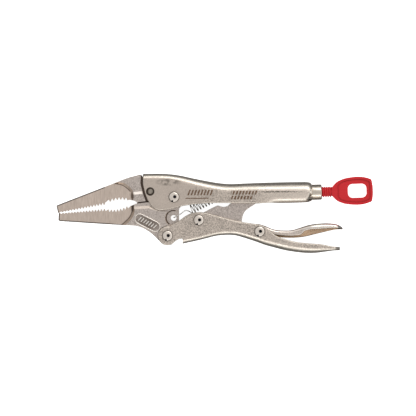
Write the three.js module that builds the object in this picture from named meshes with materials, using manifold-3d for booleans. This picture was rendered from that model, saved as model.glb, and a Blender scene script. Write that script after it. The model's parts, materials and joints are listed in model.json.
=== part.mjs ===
// Long-nose locking pliers with a key-head adjusting screw. Millimetres, +Z up.
// The tool lies on its side: +X runs from the jaws to the knob, +Y from the lower handle to the upper
// one, and +Z through its thickness. The origin is on the main pivot's axis, on the face of the rear
// rivet head, which is the plane that the tool rests on.

import * as THREE from 'three';
import { mergeVertices } from 'three/addons/utils/BufferGeometryUtils.js';
import Module from 'manifold-3d';

const wasm = await Module();
wasm.setup();

// Driving dimensions.
const SHEET = 1.6;                 // handle sheet
const HANDLE_HALF = 6;             // half the handles' outer width
const HEAD_HIGH = 1.2;             // rivet head above the sheet
const MID_Z = HANDLE_HALF + HEAD_HIGH;
const JAW_HALF = 5.7;              // half the thickness of the forged jaw bodies
const NOSE_HALF = 4.5;             // half the thickness of the ground nose
const NOSE_TIP_HALF = 3.2;         // the same at the nose's tip
const TANG_HALF = 4.1;             // half the thickness of what runs between the handle's sides
const LINK_HALF = 3.8;             // half the thickness of the toggle link
const EAR_HALF = 1.6;              // half the thickness of the jaw's spring ear
const CLEAR = 0.3;                 // gap between pieces that touch on the real tool
const HEAD_R = 2.95;               // rivet heads
const SHANK_R = 1.9;               // rivet shanks
const DIMPLE_R = 0.75;             // punch mark in a rivet head
const ROD_R = 2.6;                 // adjusting screw, under its thread
const THREAD_R = 2.9;              // adjusting screw, over its thread
const PITCH = 1.25;
const KNOB_HALF = 2.75;            // half the knob's thickness

// Pivots in the plane of the tool.
const MAIN = [0, 0];
const JAW_PIN = [-3.55, -21.3];
const LINK_PIN = [13.66, -12.67];
const LEVER_PIN = [47.1, -18.94];
const FIXED_PIN = [-13.07, 3];
const SPRING_HOLE = [-0.2, -11.5];
const SPRING_TAB = [29.6, 3.4];

// The adjusting screw's axis: a point on it, and its slope up toward the knob.
const SCREW_AT = [78.5, 2.67];
const SCREW_TILT = Math.atan(1.26 / 36.7);

const NICKEL = { color: 0xb3a296, roughness: 0.42, metalness: 0.9 };
const POLISHED = { color: 0xd8cdc2, roughness: 0.25, metalness: 1 };
const SPRING_STEEL = { color: 0xb9b7ae, roughness: 0.3, metalness: 1 };
const RED = { color: 0xc4323a, roughness: 0.5, metalness: 0 };

// Geometry helpers -----------------------------------------------------------------------------------

function toSolid(geometry) {
  const bare = geometry.clone();
  for (const name of ['normal', 'uv']) bare.deleteAttribute(name);
  const merged = mergeVertices(bare, 1e-4);
  const vertProperties = Float32Array.from(merged.getAttribute('position').array);
  const triVerts = Uint32Array.from(merged.getIndex().array);
  return new wasm.Manifold(new wasm.Mesh({ numProp: 3, vertProperties, triVerts }));
}

function toGeometry(solid) {
  const mesh = solid.getMesh();
  const geometry = new THREE.BufferGeometry();
  geometry.setAttribute('position', new THREE.BufferAttribute(mesh.vertProperties, 3));
  geometry.setIndex(new THREE.BufferAttribute(mesh.triVerts, 1));
  geometry.computeVertexNormals();
  return geometry;
}

// An outline from corner points; a nested list of points is a smooth stretch through them.
function outline(points) {
  const shape = new THREE.Shape();
  const start = Array.isArray(points[0][0]) ? points[0][0] : points[0];
  shape.moveTo(...start);
  for (const item of points) {
    if (Array.isArray(item[0])) {
      if (item !== points[0]) shape.lineTo(...item[0]);
      shape.splineThru(item.slice(1).map((p) => new THREE.Vector2(...p)));
    } else if (item !== points[0]) {
      shape.lineTo(...item);
    }
  }
  return shape;
}

function slab(shape, low, high, segments = 3) {
  const geometry = new THREE.ExtrudeGeometry(shape, {
    depth: high - low, bevelEnabled: false, curveSegments: segments,
  });
  return toSolid(geometry.translate(0, 0, low));
}

// A slab centred on the tool's middle plane.
function centred(shape, half) {
  return slab(shape, MID_Z - half, MID_Z + half);
}

// Two slabs that reach from `half` outward past both sides of the tool.
function bothSides(shape, half) {
  const far = HANDLE_HALF + 2;
  return slab(shape, MID_Z + half, MID_Z + far).add(slab(shape, MID_Z - far, MID_Z - half));
}

function disc([x, y], radius, low, high, segments = 24) {
  const geometry = new THREE.CylinderGeometry(radius, radius, high - low, segments);
  return toSolid(geometry.rotateX(Math.PI / 2).translate(x, y, (low + high) / 2));
}

function through(at, radius) {
  return disc(at, radius, -1, 2 * MID_Z + 1);
}

function centredDisc(at, radius, half) {
  return disc(at, radius, MID_Z - half, MID_Z + half);
}

function along(from, to, t) {
  return from.map((v, i) => v + (to[i] - v) * t);
}

// A closed skin over a row of sections, each a ring of points, with flat ends.
function loft(rings) {
  const count = rings[0].length;
  const position = rings.flat(2);
  const index = [];
  for (let i = 0; i + 1 < rings.length; i += 1) {
    for (let j = 0; j < count; j += 1) {
      const a = i * count + j;
      const b = i * count + ((j + 1) % count);
      index.push(a, b, a + count, b, b + count, a + count);
    }
  }
  const flat = rings[0].map((p) => new THREE.Vector2(p[1], p[2]));
  const last = (rings.length - 1) * count;
  for (const [a, b, c] of THREE.ShapeUtils.triangulateShape(flat, [])) {
    index.push(c, b, a, last + a, last + b, last + c);
  }
  const geometry = new THREE.BufferGeometry();
  geometry.setAttribute('position', new THREE.Float32BufferAttribute(position, 3));
  geometry.setIndex(index);
  return toSolid(geometry);
}

// A smooth function through [x, y] points.
function profile(points) {
  const curve = new THREE.CatmullRomCurve3(points.map(([x, y]) => new THREE.Vector3(x, y, 0)));
  const line = curve.getPoints(points.length * 8);
  return (x) => {
    let i = 1;
    while (i < line.length - 1 && line[i].x < x) i += 1;
    const [a, b] = [line[i - 1], line[i]];
    const t = THREE.MathUtils.clamp((x - a.x) / (b.x - a.x), 0, 1);
    return a.y + (b.y - a.y) * t;
  };
}

// The section of a folded sheet channel at x, its back at y = back and its rims at y = rim. `bend` is
// the outer bend radius, and `curl` the angle through which the rims turn inward.
function channelRing({ x, back, rim, half, sheet, bend, curl, curlRadius }) {
  const up = Math.sign(back - rim);
  const mid = half - sheet / 2;
  const turn = bend - sheet / 2;
  const rise = (curlRadius + sheet / 2) * Math.sin(curl);
  const line = [];
  const steps = 3;
  for (let i = 0; i <= steps; i += 1) {
    const a = (Math.PI / 2) * (i / steps);
    const z = mid - turn + turn * Math.sin(a);
    const y = back - up * (sheet / 2 + turn - turn * Math.cos(a));
    line.push({ z, y, nz: Math.sin(a), ny: up * Math.cos(a) });
  }
  for (let i = 0; i <= steps; i += 1) {
    const a = curl * (i / steps);
    const z = mid - curlRadius + curlRadius * Math.cos(a);
    const y = rim + up * (rise - curlRadius * Math.sin(a));
    line.push({ z, y, nz: Math.cos(a), ny: -up * Math.sin(a) });
  }
  const side = (sign, offset) => line.map((p) => [
    x, p.y + p.ny * offset, MID_Z + sign * (p.z + p.nz * offset),
  ]);
  const outer = [...side(-1, sheet / 2).reverse(), ...side(1, sheet / 2)];
  const inner = [...side(-1, -sheet / 2).reverse(), ...side(1, -sheet / 2)].reverse();
  const ring = [...outer, ...inner];
  return up > 0 ? ring : ring.reverse();
}

function smoothstep(x, from, to) {
  return THREE.MathUtils.smoothstep(x, from, to);
}

function piece(name, solid, look) {
  const mesh = new THREE.Mesh(toGeometry(solid), new THREE.MeshStandardMaterial(look));
  mesh.name = name;
  return mesh;
}

// Handles --------------------------------------------------------------------------------------------

const UPPER_FRONT = -17.2;
const UPPER_REAR = 75.6;
const UPPER_TOP = [
  [-17.2, 12.8], [-6.2, 12.8], [2.4, 12], [11.8, 10], [22.5, 8], [30.4, 7.2], [39.1, 7.5],
  [52.8, 8], [69.3, 8.3], [73.4, 8.1], [75.6, 7.6],
];
const UPPER_RIM = [
  [-17.2, -7.5], [-7, -7.4], [-2.2, -6.7], [1.8, -5.7], [7.1, -4.6], [18.4, -3.5], [30.3, -3.3],
  [45.1, -3.65], [61, -3.5], [69.3, -3.3], [75.6, -2.6],
];
// The front edge of the handle's sides, from the top down.
const UPPER_EDGE = [[-17.2, 13], [-17.2, 7.7], [-15.9, 2.3], [-14.2, -2], [-11.5, -5.7], [-8.2, -7.3]];

// The tab struck down from the handle's roof, which holds the spring's rear hook.
function springTab() {
  const [x, y] = SPRING_TAB;
  const reach = y + 2.9;
  const plate = outline([[x - 1.4, reach], [x - 1.4, y - 1.4], [x + 1.4, y - 1.4], [x + 1.4, reach]]);
  return centred(plate, 0.7).subtract(centredDisc(SPRING_TAB, 0.9, 2));
}

function upperHandle() {
  const top = profile(UPPER_TOP);
  const rim = profile(UPPER_RIM);
  const rings = [];
  const steps = 28;
  for (let i = 0; i <= steps; i += 1) {
    const x = UPPER_FRONT + ((UPPER_REAR - UPPER_FRONT) * i) / steps;
    const grip = smoothstep(x, 34, 58);
    const end = smoothstep(x, 70, 76);
    rings.push(channelRing({
      x,
      back: top(x),
      rim: rim(x),
      half: HANDLE_HALF - 0.6 * end,
      sheet: SHEET - 0.6 * end,
      bend: 2.6 + 1.2 * smoothstep(x, 5, 30) + 1.2 * grip,
      curl: 0.05 + 1.15 * smoothstep(x, 47, 58),
      curlRadius: 4.2,
    }));
  }
  const cut = outline([[UPPER_EDGE[0][0] - 5, 10], [UPPER_EDGE[0][0], 10], ...UPPER_EDGE.slice(1),
    [-8.2, -20], [-30, -20]]);
  return loft(rings)
    .subtract(slab(cut, -1, 2 * MID_Z + 1))
    .add(springTab())
    .subtract(through(MAIN, SHANK_R + CLEAR))
    .subtract(through(FIXED_PIN, 1.9 + CLEAR));
}

const LOWER_TOP = [
  [0, -14.5], [3.3, -12.6], [6.1, -10.6], [8.8, -9.15], [11.6, -8.4], [14.9, -8.3], [18.7, -9],
  [24.2, -10.5], [30.8, -12.3], [36.9, -13.6], [42.9, -14.5], [47.3, -15.2], [50.1, -16.4],
  [52.8, -18.7], [56.7, -21.5], [61.1, -23.1], [66.6, -24.6], [72.1, -25.3], [80.3, -25.9],
  [83.6, -26.4], [86.9, -27.3], [91.3, -27.7],
];
const LOWER_BACK = [
  [4.7, -25.7], [14.3, -23.6], [22.6, -21.5], [28.1, -20.9], [33.6, -21.1], [39.1, -22.6],
  [44.6, -24.4], [50.1, -26.4], [55.6, -27.9], [61.1, -29.3], [66.6, -30.2], [72.1, -30.8],
  [77.6, -30.8], [83.1, -30], [87.5, -29.4], [91.3, -29.4],
];
const EAR_R = 5.3;

function lowerHandle() {
  const top = profile(LOWER_TOP);
  const back = profile(LOWER_BACK);
  const rings = [];
  const steps = 28;
  for (let i = 0; i <= steps; i += 1) {
    const x = 4.7 + ((91.3 - 4.7) * i) / steps;
    const tip = smoothstep(x, 80, 91);
    rings.push(channelRing({
      x,
      back: back(x),
      rim: top(x),
      half: HANDLE_HALF - 0.8 * tip,
      sheet: SHEET - 0.5 * tip,
      bend: 2.6 - 1.2 * tip,
      curl: 0.04,
      curlRadius: 3,
    }));
  }
  const ear = outline([
    [-6.9, -17.2], [-2.2, -15.2], [[1, -14.2], [3.3, -12.6], [6.1, -10.6], [9, -9.1]], [9, -20],
    [4.7, -22.4], [1.4, -23.3],
  ]);
  const sides = bothSides(ear, HANDLE_HALF - SHEET)
    .add(disc(JAW_PIN, EAR_R, -1, MID_Z - HANDLE_HALF + SHEET))
    .add(disc(JAW_PIN, EAR_R, MID_Z + HANDLE_HALF - SHEET, 2 * MID_Z + 1))
    .intersect(centred(outline([[-20, 0], [20, 0], [20, -40], [-20, -40]]), HANDLE_HALF));
  return loft(rings)
    .add(sides)
    .subtract(through(JAW_PIN, SHANK_R + CLEAR))
    .subtract(through(LINK_PIN, SHANK_R + CLEAR))
    .subtract(through(LEVER_PIN, SHANK_R + CLEAR));
}

// Jaws -----------------------------------------------------------------------------------------------

// Teeth along a straight or bowed edge: corner points from one end to the other, `deep` into the jaw.
function teeth(from, to, pitch, deep, bow = 0) {
  const run = Math.hypot(to[0] - from[0], to[1] - from[1]);
  const count = Math.round(run / pitch);
  const points = [];
  for (let i = 0; i < count; i += 1) {
    for (const [t, out] of [[i, 0], [i + 0.5, deep]]) {
      const [x, y] = along(from, to, t / count);
      points.push([x, y + out + bow * Math.sin((Math.PI * t) / count)]);
    }
  }
  return points;
}

// Everything ahead of the shoulder where the ground nose starts, as two side slabs.
function noseRelief(shoulder) {
  return bothSides(outline([[-90, 40], ...shoulder, [-90, -40]]), NOSE_HALF);
}

// The two wedges that taper the nose's faces toward its tip.
function noseTaper() {
  const [from, tip] = [-38, -65];
  const slope = (NOSE_HALF - NOSE_TIP_HALF) / (from - tip);
  const wedge = outline([[from, NOSE_HALF], [-90, NOSE_HALF - slope * (from + 90)], [-90, 9], [from, 9]]);
  const geometry = new THREE.ExtrudeGeometry(wedge, { depth: 80, bevelEnabled: false });
  geometry.rotateX(Math.PI / 2).translate(0, 40, 0);
  const upper = toSolid(geometry);
  return upper.add(upper.mirror([0, 0, 1])).translate([0, 0, MID_Z]);
}

const FINE_PITCH = 1.14;
const COARSE_PITCH = 1.8;

function fixedJaw() {
  const body = outline([
    [-64.8, -4.6], [-31.9, 8], [[-31.9, 8], [-25.8, 10.4], [-18.4, 12.4]], [-17.7, 12.2],
    [-17.7, 10], [-4, 9.6], [[-4, 9.6], [-3.6, 7.6], [-5.5, 6.6]],
    [[-5.5, 6.6], [-8.1, 3.6], [-8.6, 0], [-8, -1.3]], [-14.3, -2.1], [-20.5, -2.9],
    [[-20.5, -2.9], [-22.2, -2], [-25, -1.5]],
    ...teeth([-25.3, -1.5], [-36.8, -2.4], COARSE_PITCH, 1, 1.1),
    ...teeth([-37.1, -3.3], [-63, -8.3], FINE_PITCH, 0.6), [-63.7, -8.9],
  ]);
  const sideCut = outline([[-16.9, 20], [-17.6, 7.6], [-16.3, 2.2], [-14.6, -2.2], [-13, -4], [10, -4],
    [10, 20]]);
  const shoulder = [[[-38, 5.8], [-31, 6.6], [-26.4, 4.6], [-23.9, 2], [-22.9, -4]]];
  const band = outline([[-21, 2.1], [-14, 2.9], [-12, -6], [-21, -6]]);
  return centred(body, JAW_HALF)
    .subtract(noseRelief([[-38, 30], ...shoulder]))
    .subtract(noseTaper())
    .subtract(bothSides(band, JAW_HALF - 1.1))
    .subtract(bothSides(sideCut, TANG_HALF))
    .subtract(through(FIXED_PIN, 1.9 + CLEAR));
}

function movingJaw() {
  const body = outline([
    [-63.6, -13.05], [-62.7, -9.6], ...teeth([-62.7, -9.6], [-36.8, -7.2], FINE_PITCH, -0.6).slice(1),
    ...teeth([-36.3, -7.3], [-24.4, -5], COARSE_PITCH, -1, -1),
    [[-23.9, -5], [-22, -4.2], [-20.3, -3.6]], [-14.3, -2.9],
    [[-6.9, -2.4], [-5.2, 3.8], [0, 6.4], [5.2, 3.8], [6.3, -1], [4.4, -4.6]], [2.8, -6.4],
    [2.8, -12.6], [[2.6, -13.2], [1.4, -17], [1.4, -23.2], [-3.5, -26.2], [-8, -24.2]],
    [[-9.3, -22.9], [-12.1, -20.2], [-15.4, -17.9], [-18.7, -16.4], [-22, -15.7]], [-46.2, -14.4],
    [-62.7, -13.3],
  ]);
  const upperCut = outline([[-14.9, 20], [-14.6, -2.2], [-12, -6.2], [-8.5, -7.8],
    [-4.5, -8.2], [20, -8.2], [20, 20]]);
  const lowerCut = outline([[-7.3, -17.2], [-2.6, -14.9], [3.4, -12], [20, -12], [20, -40], [-3.5, -40]]);
  const shoulder = [[-22.9, 4], [[-22.7, -4.4], [-22.6, -8], [-24.6, -12], [-29, -16.4]]];
  const band = outline([[-21, -6.3], [-13.6, -5.7], [-8, -7.6], [-8, 4], [-21, 4]]);
  const groove = outline([[-0.2, -7.3], [10, -7.3], [10, -15.7], [-0.2, -15.7]]);
  const badge = outline([[-20, -10.8], [-18.6, -9.7], [-9.9, -14.1], [-9, -16], [-10.4, -18.3],
    [-19.4, -13.9]]);
  return centred(body, JAW_HALF)
    .subtract(noseRelief(shoulder))
    .subtract(noseTaper())
    .subtract(bothSides(band, JAW_HALF - 1.1))
    .subtract(bothSides(badge, JAW_HALF - 0.5))
    .subtract(bothSides(upperCut, TANG_HALF))
    .subtract(bothSides(lowerCut, TANG_HALF))
    .subtract(disc(JAW_PIN, EAR_R + 0.4, -1, MID_Z - TANG_HALF))
    .subtract(disc(JAW_PIN, EAR_R + 0.4, MID_Z + TANG_HALF, 2 * MID_Z + 1))
    .subtract(bothSides(groove, EAR_HALF))
    .subtract(disc(SPRING_HOLE, 4.1, -1, MID_Z - EAR_HALF))
    .subtract(disc(SPRING_HOLE, 4.1, MID_Z + EAR_HALF, 2 * MID_Z + 1))
    .subtract(through(SPRING_HOLE, 1.55))
    .subtract(through(MAIN, SHANK_R + CLEAR))
    .subtract(through(JAW_PIN, SHANK_R + CLEAR));
}

// Link and lever -------------------------------------------------------------------------------------

function toggleLink() {
  const body = outline([
    [[11.2, -10.2], [16.5, -8.3], [20.9, -6], [23.9, -4.7]], [[24.8, -4.9], [27.2, -5.5], [29.4, -5]],
    [[29.4, -5], [34, -1.6], [39.6, 3.9], [42.2, 4.5], [44.9, 2.6], [45.2, -0.6], [44.6, -4]],
    [[44.6, -4], [41.8, -5.7], [39.3, -7.7], [37.9, -10.2], [37.3, -13.5]], [36, -15.6],
    [[36, -15.6], [26, -15.4], [14.5, -16.4], [10.6, -14.8], [10, -12.4]],
  ]);
  return centred(body, LINK_HALF).subtract(through(LINK_PIN, SHANK_R + CLEAR));
}

const LEVER_TOP = [
  [43, -14.4], [46.2, -14.7], [50.1, -15.9], [53.9, -17.5], [57.2, -18.2], [61.1, -18.4],
  [64.9, -18.2], [69.3, -16.9], [73.7, -15.5], [77.6, -14.9], [83.1, -14.3], [88, -14.5],
  [90.8, -15.4], [93, -17.3],
];
const LEVER_RIM = [
  [43, -22], [47, -22], [50.6, -20.6], [57.2, -21.4], [62.7, -22.2], [66.6, -22.4], [72.1, -21.9],
  [77.6, -20.6], [83.1, -19.4], [88.6, -18.2], [93, -18.6],
];

function releaseLever() {
  const top = profile(LEVER_TOP);
  const rim = profile(LEVER_RIM);
  const rings = [];
  const steps = 18;
  for (let i = 0; i <= steps; i += 1) {
    const x = 44 + ((92.8 - 44) * i) / steps;
    const wide = smoothstep(x, 68, 76);
    const tip = smoothstep(x, 86, 94);
    rings.push(channelRing({
      x,
      back: top(x),
      rim: rim(x),
      half: TANG_HALF + 1.4 * wide - 1.6 * tip,
      sheet: 1.1 - 0.3 * tip,
      bend: 1.8 - 0.6 * tip,
      curl: 0.05,
      curlRadius: 2.4,
    }));
  }
  const nose = outline([[44.4, -15.6], [[44.4, -15.6], [41, -16.6], [38.4, -17.6]], [38.2, -19.2],
    [44.4, -19.8]]);
  return loft(rings)
    .add(centred(nose, 2.6))
    .add(centredDisc([45.2, -18.94], 3.2, TANG_HALF).subtract(centredDisc([45.2, -18.94], 5, 2)))
    .add(centred(outline([[43.4, -15.5], [46.5, -15.5], [46.5, -19.8], [43.4, -19.8]]), 3.4))
    .subtract(through(LEVER_PIN, SHANK_R + CLEAR));
}

// Rivets ---------------------------------------------------------------------------------------------

// The rear head is flat; the front one has a punch mark.
function rivet(at) {
  return disc(at, SHANK_R, 0.5, 2 * MID_Z - 0.5)
    .add(disc(at, HEAD_R, 0, HEAD_HIGH - 0.05))
    .add(disc(at, HEAD_R, 2 * MID_Z - HEAD_HIGH + 0.05, 2 * MID_Z))
    .subtract(disc([at[0] + 0.35, at[1] + 0.25], DIMPLE_R, 2 * MID_Z - 0.5, 2 * MID_Z + 0.5, 8));
}

function fixedJawPin() {
  return centredDisc(FIXED_PIN, 1.9, HANDLE_HALF - 0.4);
}

// Spring ---------------------------------------------------------------------------------------------

function tensionSpring() {
  const from = new THREE.Vector3(9.2, -6.9, MID_Z);
  const to = new THREE.Vector3(26.2, 1.6, MID_Z);
  const turns = 9.5;
  const radius = 2.2;
  const wire = 0.32;
  const dir = to.clone().sub(from).normalize();
  const side = new THREE.Vector3(-dir.y, dir.x, 0);
  const points = [
    new THREE.Vector3(SPRING_HOLE[0] + 0.1, SPRING_HOLE[1] + 0.6, MID_Z - 3),
    new THREE.Vector3(SPRING_HOLE[0] + 0.6, SPRING_HOLE[1] + 0.3, MID_Z),
    new THREE.Vector3(SPRING_HOLE[0] + 1.2, SPRING_HOLE[1] + 0.7, MID_Z + 2.8),
    new THREE.Vector3(4.2, -8.7, MID_Z + 2.6),
    new THREE.Vector3(7, -7.2, MID_Z + 1.6),
  ];
  const steps = Math.round(turns * 12);
  for (let i = 0; i <= steps; i += 1) {
    const a = (i / 12) * 2 * Math.PI;
    const at = from.clone().lerp(to, i / steps);
    at.addScaledVector(side, -radius * Math.cos(a));
    at.z += radius * Math.sin(a);
    points.push(at);
  }
  points.push(new THREE.Vector3(28, 3.4, MID_Z + 2));
  points.push(new THREE.Vector3(SPRING_TAB[0], SPRING_TAB[1], MID_Z + 1.5));
  points.push(new THREE.Vector3(SPRING_TAB[0], SPRING_TAB[1], MID_Z - 1.6));
  const path = new THREE.CatmullRomCurve3(points);
  const section = new THREE.Shape();
  section.absarc(0, 0, wire, 0, 2 * Math.PI);
  return toSolid(new THREE.ExtrudeGeometry(section, {
    steps: 130, bevelEnabled: false, extrudePath: path, curveSegments: 3,
  }));
}

// Screw, bush and knob: built along +X from the origin, then laid on the screw's axis -----------------

function onScrewAxis(geometry) {
  return geometry.rotateZ(SCREW_TILT).translate(SCREW_AT[0], SCREW_AT[1], MID_Z);
}

function turned(points, segments = 32) {
  const profilePoints = points.map(([x, r]) => new THREE.Vector2(r, x));
  return new THREE.LatheGeometry(profilePoints, segments).rotateZ(-Math.PI / 2);
}

const ROD_FROM = -29.2;
const ROD_TO = 8.3;

function adjustingScrew() {
  const points = [[ROD_FROM, 0], [ROD_FROM, 1.8], [ROD_FROM + 1.2, ROD_R]];
  for (let x = ROD_FROM + 1.6; x < ROD_TO - PITCH; x += PITCH) {
    points.push([x + 0.45 * PITCH, THREAD_R], [x + PITCH, ROD_R]);
  }
  points.push([ROD_TO, ROD_R], [ROD_TO, 0]);
  return toSolid(onScrewAxis(turned(points, 12)));
}

function handleNut() {
  const bore = THREAD_R + CLEAR;
  const points = [[-14, bore], [-14, 4], [-6.5, 4], [-6, 3.6], [-2.6, 3.6], [-2.6, 4.25], [2.2, 4.25],
    [2.5, 3.9], [2.5, bore], [-14, bore]];
  return toSolid(onScrewAxis(turned(points, 24)));
}

function screwKnob() {
  const plate = new THREE.Shape();
  plate.moveTo(8.7, -2.9);
  plate.bezierCurveTo(11.5, -3.2, 13, -7.4, 18, -7.6);
  plate.bezierCurveTo(22, -7.9, 24, -7.8, 27, -7.3);
  plate.bezierCurveTo(30.4, -6.9, 30.9, -5.6, 30.9, -3.6);
  plate.lineTo(30.9, 3.6);
  plate.bezierCurveTo(30.9, 5.6, 30.4, 6.9, 27, 7.3);
  plate.bezierCurveTo(24, 7.8, 22, 7.9, 18, 7.6);
  plate.bezierCurveTo(13, 7.4, 11.5, 3.2, 8.7, 2.9);
  const eye = new THREE.Path();
  eye.absarc(24.9, 1.3, 2.5, 0, Math.PI / 2);
  eye.absarc(19.6, 1.3, 2.5, Math.PI / 2, Math.PI);
  eye.absarc(19.6, -1.3, 2.5, Math.PI, 1.5 * Math.PI);
  eye.absarc(24.9, -1.3, 2.5, 1.5 * Math.PI, 2 * Math.PI);
  plate.holes.push(eye);
  const geometry = new THREE.ExtrudeGeometry(plate, {
    depth: 2 * KNOB_HALF - 1.4, bevelSize: 0.7, bevelThickness: 0.7, bevelOffset: -0.7,
    bevelSegments: 1, curveSegments: 6,
  });
  return toSolid(onScrewAxis(geometry.translate(0, 0, -KNOB_HALF + 0.7)));
}

// Assembly -------------------------------------------------------------------------------------------

const pliers = new THREE.Group();
pliers.add(
  piece('upper_handle', upperHandle(), NICKEL),
  piece('fixed_jaw', fixedJaw(), NICKEL),
  piece('fixed_jaw_pin', fixedJawPin(), NICKEL),
  piece('main_pivot_rivet', rivet(MAIN), POLISHED),
  piece('tension_spring', tensionSpring(), SPRING_STEEL),
  piece('handle_nut', handleNut(), POLISHED),
  piece('moving_jaw', movingJaw(), NICKEL),
  piece('jaw_handle_rivet', rivet(JAW_PIN), POLISHED),
  piece('lower_handle', lowerHandle(), NICKEL),
  piece('link_rivet', rivet(LINK_PIN), POLISHED),
  piece('lever_rivet', rivet(LEVER_PIN), POLISHED),
  piece('toggle_link', toggleLink(), NICKEL),
  piece('release_lever', releaseLever(), POLISHED),
  piece('adjusting_screw', adjustingScrew(), RED),
  piece('screw_knob', screwKnob(), RED),
);

export default pliers;
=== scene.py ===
"""Looks of the long-nose locking pliers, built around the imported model.

Lengths in this file are millimetres in the row's frame, except where a name ends in _m.
"""

import json
import math
from contextlib import contextmanager

import bmesh
import bpy
import numpy as np
from mathutils import Matrix, Vector


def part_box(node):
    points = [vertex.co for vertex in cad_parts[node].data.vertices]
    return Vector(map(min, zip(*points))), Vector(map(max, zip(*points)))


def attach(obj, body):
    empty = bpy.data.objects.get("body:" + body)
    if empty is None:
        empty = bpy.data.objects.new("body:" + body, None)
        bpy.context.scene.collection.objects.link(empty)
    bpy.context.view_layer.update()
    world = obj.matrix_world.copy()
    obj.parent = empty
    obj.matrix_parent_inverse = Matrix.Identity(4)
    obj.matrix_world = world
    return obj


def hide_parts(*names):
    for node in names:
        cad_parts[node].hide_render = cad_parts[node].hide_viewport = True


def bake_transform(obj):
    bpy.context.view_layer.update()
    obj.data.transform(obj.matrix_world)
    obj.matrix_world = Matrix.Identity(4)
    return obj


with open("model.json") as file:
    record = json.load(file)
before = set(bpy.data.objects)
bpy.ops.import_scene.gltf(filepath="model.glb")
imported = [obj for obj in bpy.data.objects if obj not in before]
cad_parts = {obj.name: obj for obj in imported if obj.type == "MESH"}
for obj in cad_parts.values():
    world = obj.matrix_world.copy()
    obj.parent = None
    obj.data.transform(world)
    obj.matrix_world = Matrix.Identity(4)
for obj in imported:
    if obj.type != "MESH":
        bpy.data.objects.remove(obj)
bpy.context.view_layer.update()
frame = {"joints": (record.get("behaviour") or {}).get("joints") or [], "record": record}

MM = 0.001
JOINTS = {joint["name"]: joint for joint in frame["joints"]}


# Places and sizes from the frame -----------------------------------------------------------------


def joint_at(name):
    return np.array(JOINTS[name]["pos_m"]) / MM


def node_box(name):
    low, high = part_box(name)
    return np.array(low) / MM, np.array(high) / MM


MAIN = joint_at("jaw_open")
JAW_PIN = joint_at("handle_swing")
LINK_PIN = joint_at("link_swing")
LEVER_PIN = joint_at("lever_press")
SCREW_AT = joint_at("screw_turn")
SCREW_AXIS = np.array(JOINTS["screw_turn"]["axis"])
MID_Z = MAIN[2]
FIXED_PIN = sum(node_box("fixed_jaw_pin")) / 2

HANDLE_HALF = node_box("upper_handle")[1][2] - MID_Z
JAW_HALF = node_box("moving_jaw")[1][2] - MID_Z
LINK_HALF = node_box("toggle_link")[1][2] - MID_Z
KNOB_HALF = node_box("screw_knob")[1][2] - MID_Z
HEAD_TOP = node_box("main_pivot_rivet")[1][2]
HEAD_R = node_box("main_pivot_rivet")[1][0]
SHEET = 1.6  # the handles' sheet
# Half thicknesses of the jaws' parts.
NOSE_HALF = 4.1  # the ground nose, where it starts
NOSE_TIP_HALF = 3.1
NOSE_CORE_HALF = 2.5  # the nose's inside, whose edges stay sharp
TANG_HALF = 4.1  # what goes in between the handles' sides
EAR_HALF = 2.3  # the ear for the spring
HOLE_R = 2.1  # the rivets' holes
PIN_HOLE_R = 2.35
FAR = 20  # well outside the tool, for the far ends of cutters
UNDER = -5  # below the tool, for the low ends of cutters


# Curves and outlines -----------------------------------------------------------------------------


def through(points, per_span=8):
    """A smooth line through the points, as a dense list."""
    p = np.array([points[0], *points, points[-1]], float)
    line = []
    for a, b, c, d in zip(p, p[1:], p[2:], p[3:]):
        for i in range(per_span):
            t = i / per_span
            bend = (2 * a - 5 * b + 4 * c - d) * t**2 + (3 * b - a - 3 * c + d) * t**3
            line.append(0.5 * (2 * b + (c - a) * t + bend))
    return [*line, p[-1]]


def profile(points, per_span=12):
    """A smooth function of x through the points."""
    line = np.array(through(points, per_span))
    order = np.argsort(line[:, 0], kind="stable")
    return lambda x: np.interp(x, line[order, 0], line[order, 1])


SAME_POINT = 0.02


def outline(items, per_span=6):
    """Corner points in order; a nested list of points is a smooth stretch through them."""
    line = []
    for item in items:
        line += through(item, per_span) if isinstance(item, list) else [np.array(item, float)]
    kept = [line[0]]
    for point in line[1:]:
        if np.hypot(*(point - kept[-1])) > SAME_POINT:
            kept.append(point)
    if np.hypot(*(kept[0] - kept[-1])) < SAME_POINT:
        kept.pop()
    return kept


def circle(centre, radius, count=48):
    turns = np.linspace(0, 2 * math.pi, count, endpoint=False)
    return [np.array([centre[0] + radius * math.cos(a), centre[1] + radius * math.sin(a)]) for a in turns]


def teeth(start, end, pitch, deep, bow=0, share=1.0):
    """A toothed edge from start to end: flat-topped teeth, cut `deep` into the jaw at its end and
    `share` of that at its start, the row bowed by `bow`."""
    start, end = np.array(start, float), np.array(end, float)
    count = round(np.hypot(*(end - start)) / pitch)
    line = []
    for i in range(count):
        for part, out in ((0, 0), (0.14, 0), (0.5, deep), (0.64, deep)):
            t = (i + part) / count
            rise = out * (share + (1 - share) * t) + bow * math.sin(math.pi * t)
            line.append(start + (end - start) * t + np.array([0, rise]))
    return line


def smoothstep(x, low, high):
    t = np.clip((x - low) / (high - low), 0, 1)
    return t * t * (3 - 2 * t)


# Mesh helpers ------------------------------------------------------------------------------------


@contextmanager
def editing(mesh):
    """The mesh as an editable bmesh, written back at the end."""
    work = bmesh.new()
    work.from_mesh(mesh)
    yield work
    work.to_mesh(mesh)
    work.free()


def merge_close(work, apart):
    """Merges points less than `apart` millimetres from each other, so that no slivers are left."""
    bmesh.ops.remove_doubles(work, verts=work.verts, dist=apart * MM)
    bmesh.ops.dissolve_degenerate(work, edges=work.edges, dist=0.5 * apart * MM)


def add_object(name, data):
    made = bpy.data.objects.new(name, data)
    bpy.context.scene.collection.objects.link(made)
    return made


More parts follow.
